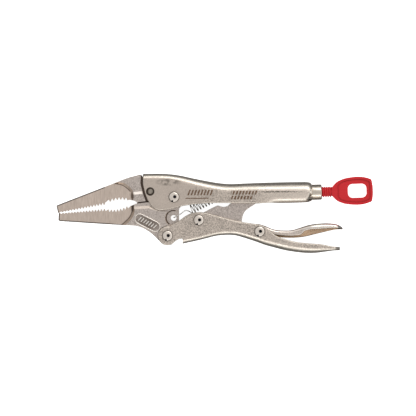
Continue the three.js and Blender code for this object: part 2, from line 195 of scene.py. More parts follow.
def new_piece(name, *parts):
    """An object from parts of (points, faces), with the points in millimetres."""
    points, faces = [], []
    for part_points, part_faces in parts:
        faces += [tuple(len(points) + i for i in face) for face in part_faces]
        points += [tuple(np.array(p) * MM) for p in part_points]
    mesh = bpy.data.meshes.new(name)
    mesh.from_pydata(points, [], faces)
    with editing(mesh) as work:
        merge_close(work, 0.002)
        bmesh.ops.recalc_face_normals(work, faces=work.faces)
    return add_object(name, mesh)


def rings(loops, ends=True):
    """Points and faces of a skin over rings of equal length, with flat ends or closed on itself."""
    count = len(loops[0])
    points = [point for loop in loops for point in loop]
    faces = []
    if ends:
        faces.append(tuple(reversed(range(count))))
        faces.append(tuple(range(len(points) - count, len(points))))
    for i in range(len(loops) - ends):
        here, there = i * count, (i + 1) % len(loops) * count
        for j in range(count):
            k = (j + 1) % count
            faces.append((here + j, here + k, there + k, there + j))
    return points, faces


def prism(line, low, high, name="cutter", shift=None):
    """An outline raised between two heights; `shift` moves its upper ring sideways, point by point."""
    upper = [(x + sx, y + sy, high) for (x, y), (sx, sy) in zip(line, shift or [(0, 0)] * len(line))]
    return new_piece(name, rings([[(x, y, low) for x, y in line], upper]))


def apply_modifiers(piece):
    """Replaces a piece's mesh with what its modifiers make of it."""
    graph = bpy.context.evaluated_depsgraph_get()
    mesh = bpy.data.meshes.new_from_object(piece.evaluated_get(graph))
    piece.modifiers.clear()
    old = piece.data
    piece.data = mesh
    bpy.data.meshes.remove(old)


def combine(piece, others, operation):
    """Applies a boolean with each of the other objects, which are used up."""
    for other in others:
        modifier = piece.modifiers.new("boolean", "BOOLEAN")
        modifier.object = other
        modifier.operation = operation
        modifier.solver = "MANIFOLD"
        apply_modifiers(piece)
        mesh = other.data
        bpy.data.objects.remove(other)
        bpy.data.meshes.remove(mesh)
    return piece


def cut(piece, *others):
    return combine(piece, others, "DIFFERENCE")


def join(piece, *others):
    return combine(piece, others, "UNION")


def strip(line, width):
    """The outline of a strip along a line, `width` wide to the line's left."""
    line = np.array([tuple(point) for point in line], float)
    along = np.gradient(line, axis=0)
    left = np.stack([-along[:, 1], along[:, 0]], axis=1) / np.hypot(*along.T)[:, None]
    return [*line, *reversed(line + width * left)]


def both_sides(line, half):
    """Two cutters from `half` off the middle plane outward."""
    far = HANDLE_HALF + 3
    return [prism(line, MID_Z + half, MID_Z + far), prism(line, MID_Z - far, MID_Z - half)]


def punch(line):
    """A cutter right through the tool."""
    return prism(line, UNDER, FAR)


def drill(centre, radius):
    return punch(circle(centre, radius))


def bevel(piece, width, segments, angle):
    """Rounds the edges sharper than an angle in degrees."""
    modifier = piece.modifiers.new("bevel", "BEVEL")
    modifier.width = width * MM
    modifier.segments = segments
    modifier.limit_method = "ANGLE"
    modifier.angle_limit = math.radians(angle)
    modifier.use_clamp_overlap = True
    apply_modifiers(piece)


def chamfer_edges(piece, width, ahead_of, angle=40):
    """Chamfers the nose's sharp edges ahead of a place along X."""
    with editing(piece.data) as work:
        edges = []
        for edge in work.edges:
            middle = (edge.verts[0].co + edge.verts[1].co) / 2 / MM
            sharp = len(edge.link_faces) == 2 and edge.calc_face_angle() > math.radians(angle)
            if sharp and middle.x < ahead_of and abs(middle.z - MID_Z) > NOSE_CORE_HALF:
                edges.append(edge)
        bmesh.ops.bevel(
            work, geom=edges, offset=width * MM, segments=1, profile=0.5, affect="EDGES", clamp_overlap=False
        )


def weld(piece):
    """Merges close points after the cuts."""
    with editing(piece.data) as work:
        merge_close(work, SAME_POINT)


def shade(piece, angle):
    """Smooth shading over edges below an angle in degrees."""
    mesh = piece.data
    mesh.polygons.foreach_set("use_smooth", [True] * len(mesh.polygons))
    mesh.set_sharp_from_angle(angle=math.radians(angle))
    modifier = piece.modifiers.new("normals", "WEIGHTED_NORMAL")
    modifier.keep_sharp = True


def lathe(name, stations, count=64, ends=True):
    """A turned piece: stations are (along, radius), with flat ends or closed on themselves for a bore."""
    turns = np.linspace(0, 2 * math.pi, count, endpoint=False)
    loops = [[(r * math.cos(a), r * math.sin(a), along) for a in turns] for along, r in stations]
    return new_piece(name, rings(loops, ends))


# Sheet channels ----------------------------------------------------------------------------------

RIM_ROUND = 0.55
NEAR_EDGE = (0, 0.03, 0.12, 0.28, RIM_ROUND)


def spaced(length, count=15):
    """Distances along a run, close together near both ends."""
    reach = min(1, length / (2.5 * RIM_ROUND))
    ends = [d * reach for d in NEAR_EDGE]
    inner = np.linspace(ends[-1], length - ends[-1], count - 2 * len(ends) + 2)[1:-1]
    return np.array([*ends, *inner, *[length - d for d in reversed(ends)]])


def rounded(distance):
    """The share of the sheet's thickness at a distance from its cut edge."""
    t = np.clip(distance / RIM_ROUND, 0, 1)
    return np.sqrt(np.clip(1 - (1 - t) ** 2, 0, 1))


def run_of(path, normals, count=15):
    """Points, normals and distances at the spaced places along a path."""
    steps = np.hypot(*np.diff(path, axis=0).T)
    along = np.concatenate([[0], np.cumsum(steps)])
    at = spaced(along[-1], count)
    take = lambda values: np.stack([np.interp(at, along, values[:, k]) for k in (0, 1)], axis=1)
    normal = take(normals)
    normal /= np.maximum(np.hypot(*normal.T), 1e-9)[:, None]
    return take(path), normal, at, along[-1]


def side_path(rim, back, up, half, sheet, bend, curl, curl_radius):
    """One side of a channel from its rim to the start of its back bend, as (z, y) and outward normals."""
    mid = half - sheet / 2
    reach = curl_radius + sheet / 2
    start = rim + up * reach * math.sin(curl)
    points, normals = [], []
    for a in np.linspace(curl, 0, 9):
        points.append((mid - curl_radius + curl_radius * math.cos(a), start - up * curl_radius * math.sin(a)))
        normals.append((math.cos(a), -up * math.sin(a)))
    end = back - up * bend
    for t in np.linspace(0, 1, 6)[1:]:
        points.append((mid, start + (end - start) * t))
        normals.append((1, 0))
    return np.array(points), np.array(normals)


def back_path(back, up, half, sheet, bend):
    """From one back bend across the back to the other."""
    mid, turn = half - sheet / 2, bend - sheet / 2
    points, normals = [], []
    for a in np.linspace(math.pi / 2, 0, 9):
        points.append((mid - turn + turn * math.sin(a), back - up * (sheet / 2 + turn - turn * math.cos(a))))
        normals.append((math.sin(a), up * math.cos(a)))
    points, normals = np.array(points), np.array(normals)
    mirror = np.array([-1, 1])
    return np.concatenate([points, points[::-1] * mirror]), np.concatenate([normals, normals[::-1] * mirror])


def skin(name, stations):
    """A closed sheet from stations of (x, runs), each run a list of (outer, inner) points of (z, y).

    Neighbouring stations with the same runs are joined run by run. A run that a neighbour lacks is
    closed with a flat edge."""
    points, index = [], {}

    def vertex(x, zy):
        key = (round(x, 4), round(zy[0], 4), round(zy[1], 4))
        if key not in index:
            index[key] = len(points)
            points.append((x, zy[1], MID_Z + zy[0]))
        return index[key]

    faces = []

    def face(*corners):
        ring = [c for i, c in enumerate(corners) if c != corners[i - 1]]
        if len(ring) > 2:
            faces.append(tuple(ring))

    rows = []
    for x, runs in stations:
        rows.append({key: [(vertex(x, o), vertex(x, i)) for o, i in run] for key, run in runs.items()})
    for here, there in zip([{}, *rows], [*rows, {}]):
        for key in sorted({*here, *there}):
            if key in here and key in there:
                for a, b, c, d in zip(here[key], here[key][1:], there[key], there[key][1:]):
                    face(a[0], b[0], d[0], c[0])
                    face(a[1], c[1], d[1], b[1])
            else:
                row = here.get(key) or there.get(key)
                for a, b in zip(row, row[1:]):
                    face(a[0], b[0], b[1], a[1])
    for here, there in zip(rows, rows[1:]):
        for key in sorted({*here} & {*there}):
            for end in (0, -1):
                if not joined(here, key, end) or not joined(there, key, end):
                    a, b = here[key][end], there[key][end]
                    face(a[0], b[0], b[1], a[1])
    return new_piece(name, (points, faces))


def joined(row, key, end):
    """Whether a run's end is met by the back run of the same station."""
    inner_end = {"near": -1, "far": 0}.get(key)
    return "back" in row and (key == "back" or end == inner_end)


def channel_station(x, rims, back, half, sheet, bend, curl=0.02, curl_radius=3.0, edge=1.0, feet=None):
    """The section of a folded sheet at x, with its two rims at `rims` = (near, far).

    With `feet`, the section is two plain side plates that end there, and has no back."""
    up = math.copysign(1, back - rims[0])
    runs = {}
    for key, side, rim in (("near", 1, rims[0]), ("far", -1, rims[1])):
        if feet is None:
            path, normals = side_path(rim, back, up, half, sheet, bend, curl, curl_radius)
        else:
            path = np.array([(half - sheet / 2, rim + (feet - rim) * t) for t in np.linspace(0, 1, 6)])
            normals = np.array([(1.0, 0.0)] * 6)
        at, normal, distance, length = run_of(path, normals)
        thick = rounded(distance * max(1, RIM_ROUND / length))
        if feet is not None:
            thick = thick * rounded(length - distance)
        offset = normal * (thick * edge * sheet / 2)[:, None]
        flip = np.array([side, 1])
        run = list(zip((at + offset) * flip, (at - offset) * flip))
        runs[key] = run if key == "near" else run[::-1]
    if feet is None:
        path, normals = back_path(back, up, half, sheet, bend)
        offset = normals * edge * sheet / 2
        runs["back"] = list(zip(path + offset, path - offset))
    return x, runs


def end_slope(x, end, length):
    """0 until the last stretch of a handle, then rising steeply to 1 at its end."""
    return float(np.clip((x - end + length) / length, 0, 1) ** 1.3)


def stations_along(low, high, step, extra=()):
    inner = np.arange(low + RIM_ROUND, high - RIM_ROUND, step)
    ends = [low + d for d in NEAR_EDGE] + [high - d for d in NEAR_EDGE]
    return sorted({round(float(x), 3) for x in [*inner, *ends, *extra]})


# Handles -----------------------------------------------------------------------------------------

UPPER_REAR_REACH = 0.5  # how far the rolled grip runs on behind the frame's box of the piece
UPPER_TOP = [
    (-17.2, 12.7), (-6.2, 12.79), (2.4, 11.97), (11.8, 10.0), (22.5, 8.0), (30.4, 7.2), (39.1, 7.5),
    (52.8, 8.0), (69.3, 8.3), (73.8, 8.2), (75.4, 7.5), (76.1, 6.3),
]
UPPER_RIM = [
    (-17.2, 7.7), (-15.9, 2.3), (-14.2, -2.0), (-11.5, -5.7), (-9.4, -7.0), (-6.9, -7.4), (-2.2, -6.7),
    (1.8, -5.7), (7.1, -4.6), (18.4, -3.5), (30.3, -3.3), (45.1, -3.65), (48.6, -3.5), (61.0, -3.5),
    (69.3, -3.3), (73.9, -3.0), (76.1, -2.0),
]


def upper_handle():
    """A channel open downward, whose rear part is curled round into a grip."""
    low, high = node_box("upper_handle")
    rear = high[0] + UPPER_REAR_REACH
    top, rim = profile(UPPER_TOP), profile(UPPER_RIM)
    stations = []
    for x in stations_along(low[0], rear, 0.8, np.arange(low[0], -6.0, 0.2)):
        end = smoothstep(x, 73.9, 76.4)
        near_rim = rim(x) + 3.0 * smoothstep(x, 72.3, 75.7)
        stations.append(
            channel_station(
                x,
                (near_rim, rim(x)),
                top(x),
                HANDLE_HALF - 0.9 * end,
                SHEET - 0.5 * end,
                bend=3.3 + 1.6 * smoothstep(x, -8, 26) + 0.7 * smoothstep(x, 34, 58),
                curl=0.03 + 1.2 * smoothstep(x, 46.5, 58),
                curl_radius=3.4,
                edge=max(rounded(x - low[0]) * rounded(rear - x), 0.02),
            )
        )
    handle = skin("upper_handle_shell", stations)
    return cut(handle, drill(MAIN, HOLE_R), drill(FIXED_PIN, PIN_HOLE_R))


LOWER_TOP = [
    (-2.2, -15.9), (3.3, -12.6), (6.1, -10.6), (8.8, -9.15), (11.6, -8.4), (14.9, -8.3), (18.7, -9.0),
    (24.2, -10.5), (30.8, -12.3), (36.9, -13.6), (42.9, -14.5), (47.3, -15.2), (50.1, -16.4),
    (52.8, -18.7), (56.7, -21.5), (61.1, -23.1), (66.6, -24.6), (72.1, -25.3), (80.3, -25.9),
    (83.6, -26.4), (86.9, -27.1), (91.3, -27.45),
]
LOWER_BACK = [
    (4.7, -25.7), (14.3, -23.6), (22.6, -21.5), (28.1, -20.9), (33.6, -21.1), (39.1, -22.6),
    (44.6, -24.4), (50.1, -26.4), (55.6, -27.9), (61.1, -29.3), (66.6, -30.2), (72.1, -30.76),
    (77.6, -30.76), (83.1, -30.1), (87.5, -29.5), (91.3, -29.4),
]
FOLD_FROM = 4.7
EAR_R = 5.3


def lower_handle():
    """Two side plates round the jaw's rivet, folded into a channel open upward behind it."""
    low, high = node_box("lower_handle")
    centre = JAW_PIN
    slope_top, back = profile(LOWER_TOP), profile(LOWER_BACK)
    foot_curve = profile([(-0.4, -25.4), (1.4, -23.9), (3.0, -23.1), (4.7, -23.0)])

    def arc(x, side):
        return centre[1] + side * math.sqrt(max(EAR_R**2 - (x - centre[0]) ** 2, 0))

    def rim(x):
        if x < -7.2:
            return arc(x, 1)
        return max(arc(x, 1), -15.9 + (x + 2.2) * 0.59) if x < -2.2 else slope_top(x)

    def foot(x):
        return arc(x, -1) if x < -0.4 else foot_curve(x)

    ear = [centre[0] - EAR_R * math.cos(a) for a in np.linspace(0, math.pi, 60)]
    ear = [x for x in ear if x < FOLD_FROM - 0.05]
    stations = []
    for x in stations_along(low[0], FOLD_FROM, 0.6, ear)[:-1]:
        x = max(x, centre[0] - EAR_R + 0.001)
        edge = rim(x)
        stations.append(channel_station(x, (edge, edge), edge - FAR, HANDLE_HALF, SHEET, 2.6, feet=foot(x)))
    for x in stations_along(FOLD_FROM, high[0], 0.8)[1:]:
        tip = smoothstep(x, 80, 91.3)
        end = end_slope(x, high[0], 3.2)
        stations.append(
            channel_station(
                x,
                (rim(x), rim(x)),
                back(x),
                HANDLE_HALF - 0.6 * tip - 3.8 * end,
                SHEET - 0.7 * tip,
                bend=min(2.6 + 1.6 * float(smoothstep(x, 20, 62)), 0.72 * (rim(x) - back(x))),
                edge=max(float(rounded(high[0] - x)), 0.02),
            )
        )
    handle = skin("lower_handle_shell", stations)
    return cut(handle, *[drill(pin, HOLE_R) for pin in (JAW_PIN, LINK_PIN, LEVER_PIN)])


LEVER_FRONT = 44.0
LEVER_TOP = [
    (43.6, -14.9), (46.2, -14.8), (50.1, -15.9), (53.9, -17.5), (57.2, -18.2), (61.1, -18.4),
    (64.9, -18.2), (69.3, -16.9), (73.7, -15.5), (77.6, -14.8), (83.1, -14.4), (88.0, -14.7),
    (90.8, -15.5), (92.8, -16.9),
]
LEVER_NEAR = [
    (43.6, -21.0), (50.6, -19.5), (53.9, -20.4), (57.2, -21.1), (62.7, -21.4), (68.6, -21.0),
    (70.6, -20.0), (72.2, -18.3), (75.9, -17.7), (80.3, -17.5), (88.6, -17.0), (92.8, -17.6),
]
LEVER_FAR = [
    (43.6, -21.4), (50.6, -20.6), (57.2, -22.0), (61.1, -22.4), (66.6, -22.4), (72.1, -21.8),
    (77.6, -20.5), (83.1, -19.2), (88.6, -18.0), (92.8, -17.9),
]


def release_lever():
    """A channel that widens to a spoon, with a solid tongue in front of its rivet."""
    high = node_box("release_lever")[1]
    top, near, far = profile(LEVER_TOP), profile(LEVER_NEAR), profile(LEVER_FAR)
    stations = []
    for x in stations_along(LEVER_FRONT, high[0], 0.6):
        wide = smoothstep(x, 68, 76)
        tip = smoothstep(x, 85, 93)
        least = 2.6 - 1.9 * tip
        edge = rounded(x - LEVER_FRONT) * rounded(high[0] - x)
        stations.append(
            channel_station(
                x,
                (min(near(x), top(x) - least), min(far(x), top(x) - least)),
                top(x),
                TANG_HALF + 1.35 * wide - 0.6 * tip - 3.3 * end_slope(x, high[0], 3.4),
                1.1 - 0.3 * tip,
                bend=min(1.4 + 0.9 * wide, 0.8 * max(top(x) - near(x), least)),
                edge=max(edge, 0.02),
            )
        )
    lever = skin("release_lever_shell", stations)
    nose = outline([(45.4, -15.6), [(45.4, -15.6), (41, -16.6), (38.4, -17.6)], (38.2, -19.2), (45.4, -19.8)])
    tongue = prism(nose, MID_Z - 2.6, MID_Z + 2.6)
    bevel(tongue, 0.4, 3, 35)
    join(lever, tongue)
    return cut(lever, drill(LEVER_PIN, HOLE_R))


# Jaws --------------------------------------------------------------------------------------------

FINE_PITCH = 1.65  # of the teeth near the tip
COARSE_PITCH = 1.8  # of the teeth round the mouth
BAND_DEEP = 1.1  # the sunk band beside the seam
GROOVE_DEEP = 0.9  # the grooves along the shoulders, into the nose's faces
GAP_CORE_HALF = 1.4  # half of what is left of the tang in the gap ahead of the upper handle
EAR_CORE_HALF = 1.2  # half of what is left in the groove round the spring's ear
SPRING_HOLE_R = 1.55
BADGE_DEEP = 1.1
SPRING_HOLE = np.array([-0.2, -11.5])
SPRING_EAR_R = 4.2


def sloped_cutters(line, shift, half):
    """Two cutters with sloping walls, from `half` off the middle plane out past the jaw's faces.

    `shift` is how far each point of the line moves by the time the wall reaches the jaw's face."""
    rise = JAW_HALF - half
    far = rise + 1
    shift = [(sx * far / rise, sy * far / rise) for sx, sy in shift]
    cutters = []
    for sign in (1, -1):
        cutter = prism(line, 0, far, shift=shift)
        if sign < 0:
            cutter.data.transform(Matrix.Diagonal((1, 1, -1, 1)))
            cutter.data.flip_normals()
        cutter.data.transform(Matrix.Translation((0, 0, (MID_Z + sign * half) * MM)))
        cutters.append(cutter)
    return cutters


def nose_cutters(line, shift):
    """Cutters for the ground nose: its faces with a sloped shoulder, and the taper to the tip."""
    cutters = sloped_cutters(line, shift, NOSE_HALF)
    start, tip, beyond, outside = -38, -65, -80, 9
    slope = (NOSE_HALF - NOSE_TIP_HALF) / (start - tip)
    ends = [(start, NOSE_HALF), (beyond, NOSE_HALF - slope * (start - beyond))]
    for sign in (1, -1):
        wedge = [*ends, (beyond, outside), (start, outside)]
        loops = [[(x, y, MID_Z + sign * z) for x, z in wedge] for y in (-2 * FAR, 2 * FAR)]
        cutters.append(new_piece("cutter", rings(loops)))
    return cutters


def spread_along(line, values):
    """As many values as the line has points, interpolated between the given ones."""
    last = len(values) - 1
    return np.interp(np.linspace(0, last, len(line)), range(last + 1), values)


def jaw_blank(name, body):
    """A forging's full-thickness outline with rounded edges, before its cuts."""
    jaw = prism(body, MID_Z - JAW_HALF, MID_Z + JAW_HALF, name)
    bevel(jaw, 0.6, 4, 20)
    return jaw


def fixed_jaw():
    """The upper jaw, with a tang that goes in between the upper handle's sides."""
    body = outline(
        [
            (-64.7, -4.7), (-31.9, 8.0), [(-31.9, 8.0), (-25.8, 10.4), (-18.5, 12.4)], (-17.75, 12.0),
            (-17.2, 10.8), (-8, 10.6), (-4, 9.4), [(-4, 9.4), (-3.7, 7.6), (-5.6, 6.7)],
            [(-5.6, 6.7), (-8.1, 3.6), (-8.6, 0), (-8, -1.4)], (-14.3, -2.1), (-20.5, -2.9),
            [(-20.5, -2.9), (-24, -2.4), (-30, -2.6), (-37, -5)], (-63.75, -10.6), (-63.7, -8.8),
        ]
    )
    jaw = jaw_blank("fixed_jaw_forging", body)
    mouth = outline(
        [
            (-63.2, -8.72), *teeth((-63, -8.7), (-36.9, -4.15), FINE_PITCH, 1.4, 0, 0.3),
            *reversed(teeth((-25.3, -1.9), (-36.8, -3.2), COARSE_PITCH, 1.3, 0.9)),
            [(-25.0, -1.5), (-22.4, -1.9), (-20.6, -2.75)], (-20.6, -14), (-66, -14), (-66, -8.75),
        ]
    )
    front = [(-18.45, 7.6), (-17.25, 2.2), (-15.6, -2.2)]
    side = outline([(-18.0, 20), *front, (-13, -4.5), (10, -4.5), (10, 20)])
    edge = [(-18.0, 14), *front]
    gap = [*edge, *[(x + 1.3, y) for x, y in reversed(edge)]]
    corners = [(-23.2, -5), (-23.6, 1.8), (-25.6, 4.6), (-29.5, 6.9), (-36, 7.3), (-42, 5.5)]
    shoulder = through(corners, 6)
    line = [*shoulder, (-90, 5.5), (-90, -20), (-23.2, -20)]
    widths = [1.15, 1.15, 1.6, 2.1, 1.8, 1.0]
    shift = [(a, a * 0.35) for a in spread_along(shoulder, widths)] + [(0, 0), (0, 0), (1.8, 0)]
    arc = [(x + 0.15, y + 0.1) for x, y in shoulder[8:30]]
    band = [(-22.4, 1.2), (-17.9, 1.7), (-12, 2.1), (-12, -6), (-22.4, -6)]
    band_shift = [(0, 1.5), (0, 1.5), (0, 1.5), (0, 0), (0, 0)]
    cut(
        jaw,
        *nose_cutters(line, shift),
        *both_sides(side, TANG_HALF),
        *both_sides(gap, GAP_CORE_HALF),
        *both_sides(strip(arc, 0.4), NOSE_HALF - GROOVE_DEEP),
    )
    chamfer_edges(jaw, 0.6, -38)
    cut(
        jaw,
        punch(mouth),
        *sloped_cutters(band, band_shift, JAW_HALF - BAND_DEEP),
        prism(seam_step(0.35), UNDER, MID_Z - 1),
        drill(FIXED_PIN, HOLE_R),
    )
    weld(jaw)
    return jaw


def seam_step(gap):
    """The strip in which the seam between the jaws steps over, so that no light comes through it."""
    rise = 0.5
    low = [(-20.4, -3.6), (-14.3, -2.9), (-8.5, -2.3)]
    high = [(-8.5, -2.1 + rise + gap), (-14.3, -2.1 + rise + gap), (-20.4, -2.9 + rise + gap)]
    return [*low, *high]


def moving_jaw():
    """The lower jaw, with a lobe for the main pivot, an arm to the lower handle and the spring's ear."""
    body = outline(
        [
            (-63.55, -13.0), (-63.3, -8.0), (-36.8, -5.2), [(-36.8, -5.2), (-28, -3.6), (-20.3, -3.6)],
            (-14.3, -2.9), [(-6.9, -2.4), (-5.2, 3.8), (0, 6.35), (5.2, 3.8), (6.3, -1), (4.4, -4.6)],
            (2.8, -6.4), (2.8, -12.6), [(2.6, -13.2), (1.4, -17), (1.4, -23.2), (-3.5, -26.1), (-8, -24.2)],
            [(-9.3, -22.9), (-12.1, -20.2), (-15.4, -17.9), (-18.7, -16.4), (-22, -15.7)], (-28.6, -15.45),
            (-46.2, -14.35), (-62.8, -13.25),
        ]
    )
    jaw = jaw_blank("moving_jaw_forging", body)
    mouth = outline(
        [
            (-64, -8.82), (-63, -8.82), *teeth((-62.8, -8.85), (-36.8, -6.35), FINE_PITCH, -1.3, 0, 0.3),
            *teeth((-36.3, -6.8), (-24.4, -4.5), COARSE_PITCH, -1.3, -1),
            [(-24.0, -5), (-22, -4.2), (-20.5, -3.4)], (-20.5, 6), (-64, 6),
        ]
    )
    under_handle = [(-14.5, -2.2), (-11.9, -6.1), (-8.5, -7.75), (-4.5, -8.1)]
    upper = outline([(-14.8, 20), *under_handle, (20, -8.1), (20, 20)])
    lower = outline([(-7.4, -17.3), (-2.7, -14.9), (3.4, -12), (20, -12), (20, -40), (-3.5, -40)])
    corners = [(-23.0, 0), (-22.9, -4.6), (-22.9, -8), (-24.6, -11.6), (-29.2, -15.9), (-31, -17)]
    shoulder = through(corners, 6)
    line = [(-90, 0), *shoulder, (-90, -17)]
    widths = [1.15, 1.15, 1.15, 1.3, 1.6, 1.6]
    shift = [(0, 0), *[(a, -0.3 * a) for a in spread_along(shoulder, widths)], (0, 0)]
    band = [(-22.0, -5.2), (-13.6, -4.7), (-8, -6.4), (-8, 4), (-22.0, 4)]
    band_shift = [(0, -1.6), (0, -1.6), (0, -1.6), (0, 0), (0, 0)]
    groove = outline([(-0.2, -7.4), (10, -7.4), (10, -15.6), (-0.2, -15.6)])
    around = np.array([(math.cos(a), math.sin(a)) for a in np.radians(np.linspace(75, 235, 30))])
    inner, outer = [SPRING_HOLE + radius * around for radius in (SPRING_EAR_R - 0.4, SPRING_EAR_R)]
    ear_groove = [*outer, *reversed(inner)]
    ear = circle(SPRING_HOLE, SPRING_EAR_R)
    ear_shift = [0.55 * (point - SPRING_HOLE) / SPRING_EAR_R for point in ear]
    cut(
        jaw,
        *nose_cutters(line, shift),
        *both_sides(upper, TANG_HALF),
        *both_sides(lower, TANG_HALF),
        *both_sides(strip(shoulder[::-1], 0.45), NOSE_HALF - GROOVE_DEEP),
        *both_sides(circle(JAW_PIN, EAR_R + 0.2), TANG_HALF),
    )
    chamfer_edges(jaw, 0.6, -33)
    join(jaw, prism(seam_step(0.0), MID_Z - JAW_HALF + 0.5, MID_Z - 1.15))
    cut(
        jaw,
        punch(mouth),
        *sloped_cutters(band, band_shift, JAW_HALF - BAND_DEEP),
        *both_sides(groove, EAR_HALF),
        *sloped_cutters(ear, ear_shift, EAR_HALF),
        *both_sides(ear_groove, EAR_CORE_HALF),
        *both_sides(badge_outline(BADGE_R), JAW_HALF - BADGE_DEEP),
        drill(SPRING_HOLE, SPRING_HOLE_R),
        drill(MAIN, HOLE_R),
        drill(JAW_PIN, HOLE_R),
    )
    weld(jaw)
    return jaw


BADGE_AT = np.array([-14.6, -14.1])
BADGE_TURN = math.radians(-27)
BADGE_LONG = 9.4
BADGE_R = 2.35
BADGE_BARS = [(i - 3) * 1.55 for i in range(7)]
BADGE_RIM = ((2.3, -0.9), (2.42, 0.2), (2.6, 0.38), (2.8, 0.38), (3.1, -0.3))  # radius, height over the face


def badge_point(along, across):
    c, s = math.cos(BADGE_TURN), math.sin(BADGE_TURN)
    return BADGE_AT + np.array([along * c - across * s, along * s + across * c])


def badge_outline(radius):
    """A round-ended slot."""
    line = []
    for end, first in ((1, -math.pi / 2), (-1, math.pi / 2)):
        for a in np.linspace(first, first + math.pi, 13):
            line.append(badge_point(end * BADGE_LONG / 2 + radius * math.cos(a), radius * math.sin(a)))
    return line


def badge_marks():
    """A raised rim and plain slanted bars in the sunk badge, on both faces of the moving jaw."""
    parts = []
    for side in (1, -1):
        face = MID_Z + side * JAW_HALF
        for along in BADGE_BARS:
            bar = []
            for z, half, reach in ((-1.15, 0.5, 1.45), (0.1, 0.3, 1.2)):
                corners = ((-half, -reach), (half, -reach), (half, reach), (-half, reach))
                bar.append([(*badge_point(along + a + 0.3 * b, b), face + side * z) for a, b in corners])
            parts.append(rings(bar))
        rim = [[(*p, face + side * z) for p in badge_outline(radius)] for radius, z in BADGE_RIM]
        parts.append(rings(rim, ends=False))
    marks = new_piece("badge_marks", *parts)
    bevel(marks, 0.1, 2, 40)
    return marks


def toggle_link():
    """A flat forging with a nose that reaches up into the upper handle."""
    body = outline(
        [
            [(11.2, -10.2), (16.5, -8.3), (20.9, -6.0), (23.9, -4.65)],
            [(24.8, -4.8), (27.2, -5.45), (29.4, -5.0)],
            [
                (29.4, -5.0), (31.1, -3.5), (34.5, -0.6), (39.6, 3.9), (42.2, 4.45), (44.8, 2.6),
                (45.1, -0.6), (44.9, -3.8),
            ],
            [(44.9, -3.8), (41.8, -5.7), (39.3, -7.7), (37.9, -10.2), (37.3, -13.5)], (36, -15.5),
            [(36, -15.5), (26, -15.3), (14.5, -16.2), (10.6, -14.8), (10.1, -12.4)],
        ]
    )
    link = prism(body, MID_Z - LINK_HALF, MID_Z + LINK_HALF, "toggle_link_forging")
    bevel(link, 0.5, 4, 25)
    return cut(link, drill(LINK_PIN, HOLE_R))


# Rivets, pin and bush ----------------------------------------------------------------------------


SHANK_R = 1.9
PUNCH_AT = (0.4, 0.1)  # the punch mark, from the rivet's middle
NOTCH_TURN = math.radians(247)


def rivet(name, node, at, material):
    """A rivet with a domed near head, punched off its middle and notched at its rim."""
    high, head = HEAD_TOP, HEAD_TOP - (MID_Z + HANDLE_HALF)
    flat = [
        (0, HEAD_R - 0.4), (0.1, HEAD_R - 0.15), (0.3, HEAD_R), (head - 0.3, HEAD_R),
        (head - 0.04, HEAD_R - 0.12), (head - 0.04, SHANK_R),
    ]
    dome = [
        (high - head - 0.35, SHANK_R), (high - head + 0.04, SHANK_R), (high - head + 0.04, HEAD_R - 0.12),
        (high - head + 0.2, HEAD_R), (high - 0.85, HEAD_R), (high - 0.55, HEAD_R - 0.1),
        (high - 0.28, HEAD_R - 0.38), (high - 0.14, HEAD_R - 0.75), (high - 0.05, HEAD_R - 1.3),
        (high, HEAD_R - 2.0),
    ]
    piece = lathe(name, [*flat, *dome])
    punched = [(high - 1.5, 0.5), (high - 0.3, 0.78), (high - 0.05, 0.92), (high + 1, 1.1)]
    dimple = lathe("cutter", punched, 24)
    for part, (dx, dy) in ((piece, (0, 0)), (dimple, PUNCH_AT)):
        part.data.transform(Matrix.Translation(Vector((at[0] + dx, at[1] + dy, 0)) * MM))
    wedge = []
    for reach, turn in ((1.7, 0), (3.6, -0.4), (3.6, 0.4)):
        turn += NOTCH_TURN
        wedge.append(at[:2] + reach * np.array([math.cos(turn), math.sin(turn)]))
    cut(piece, dimple, prism(wedge, high - 0.9, high + 1))
    bevel(piece, 0.06, 2, 40)
    finish_piece(piece, node, material)


def fixed_jaw_pin():
    """A pin with a dished head sunk in the handle's side, and a flange that fills the hole."""
    half = HANDLE_HALF - 0.55
    flange = PIN_HOLE_R - 0.05
    stations = [
        (-half, 1.3), (-half + 0.3, 1.8), (-half + 0.8, 1.8), (-half + 0.8, flange),
        (-half + 1.0, flange), (-half + 1.0, 1.95), (half - 1.0, 1.95), (half - 1.0, flange),
        (half - 0.8, flange), (half - 0.8, 1.8), (half - 0.3, 1.75), (half - 0.08, 1.6), (half, 1.3),
        (half - 0.15, 1.0), (half - 0.2, 0.4),
    ]
    pin = lathe("fixed_jaw_pin_body", stations, 48)
    pin.data.transform(Matrix.Translation(Vector(FIXED_PIN) * MM))
    return pin


def on_screw_axis(piece):
    """Turns a piece built along +Z from its own zero onto the adjusting screw's axis."""
    turn = Vector(SCREW_AXIS).to_track_quat("Z", "Y").to_matrix().to_4x4()
    piece.data.transform(Matrix.Translation(Vector(SCREW_AT) * MM) @ turn)
    return piece


def handle_nut():
    """A bush crimped in the handle's rear end, with a collar behind it."""
    outer = [
        (-14, 3.7), (-13.8, 3.95), (-6.5, 3.95), (-6, 3.55), (-2.7, 3.55), (-2.6, 4.1), (-2.35, 4.25),
        (2.2, 4.25), (2.55, 4.1), (2.75, 3.75), (2.8, 3.5),
    ]
    bore = 3.2
    return on_screw_axis(lathe("handle_bush", [*outer, (2.8, bore), (-14, bore)], ends=False))


# Screw and knob ----------------------------------------------------------------------------------

PITCH = 1.25
ROOT_R = 2.4
CREST_R = 2.93


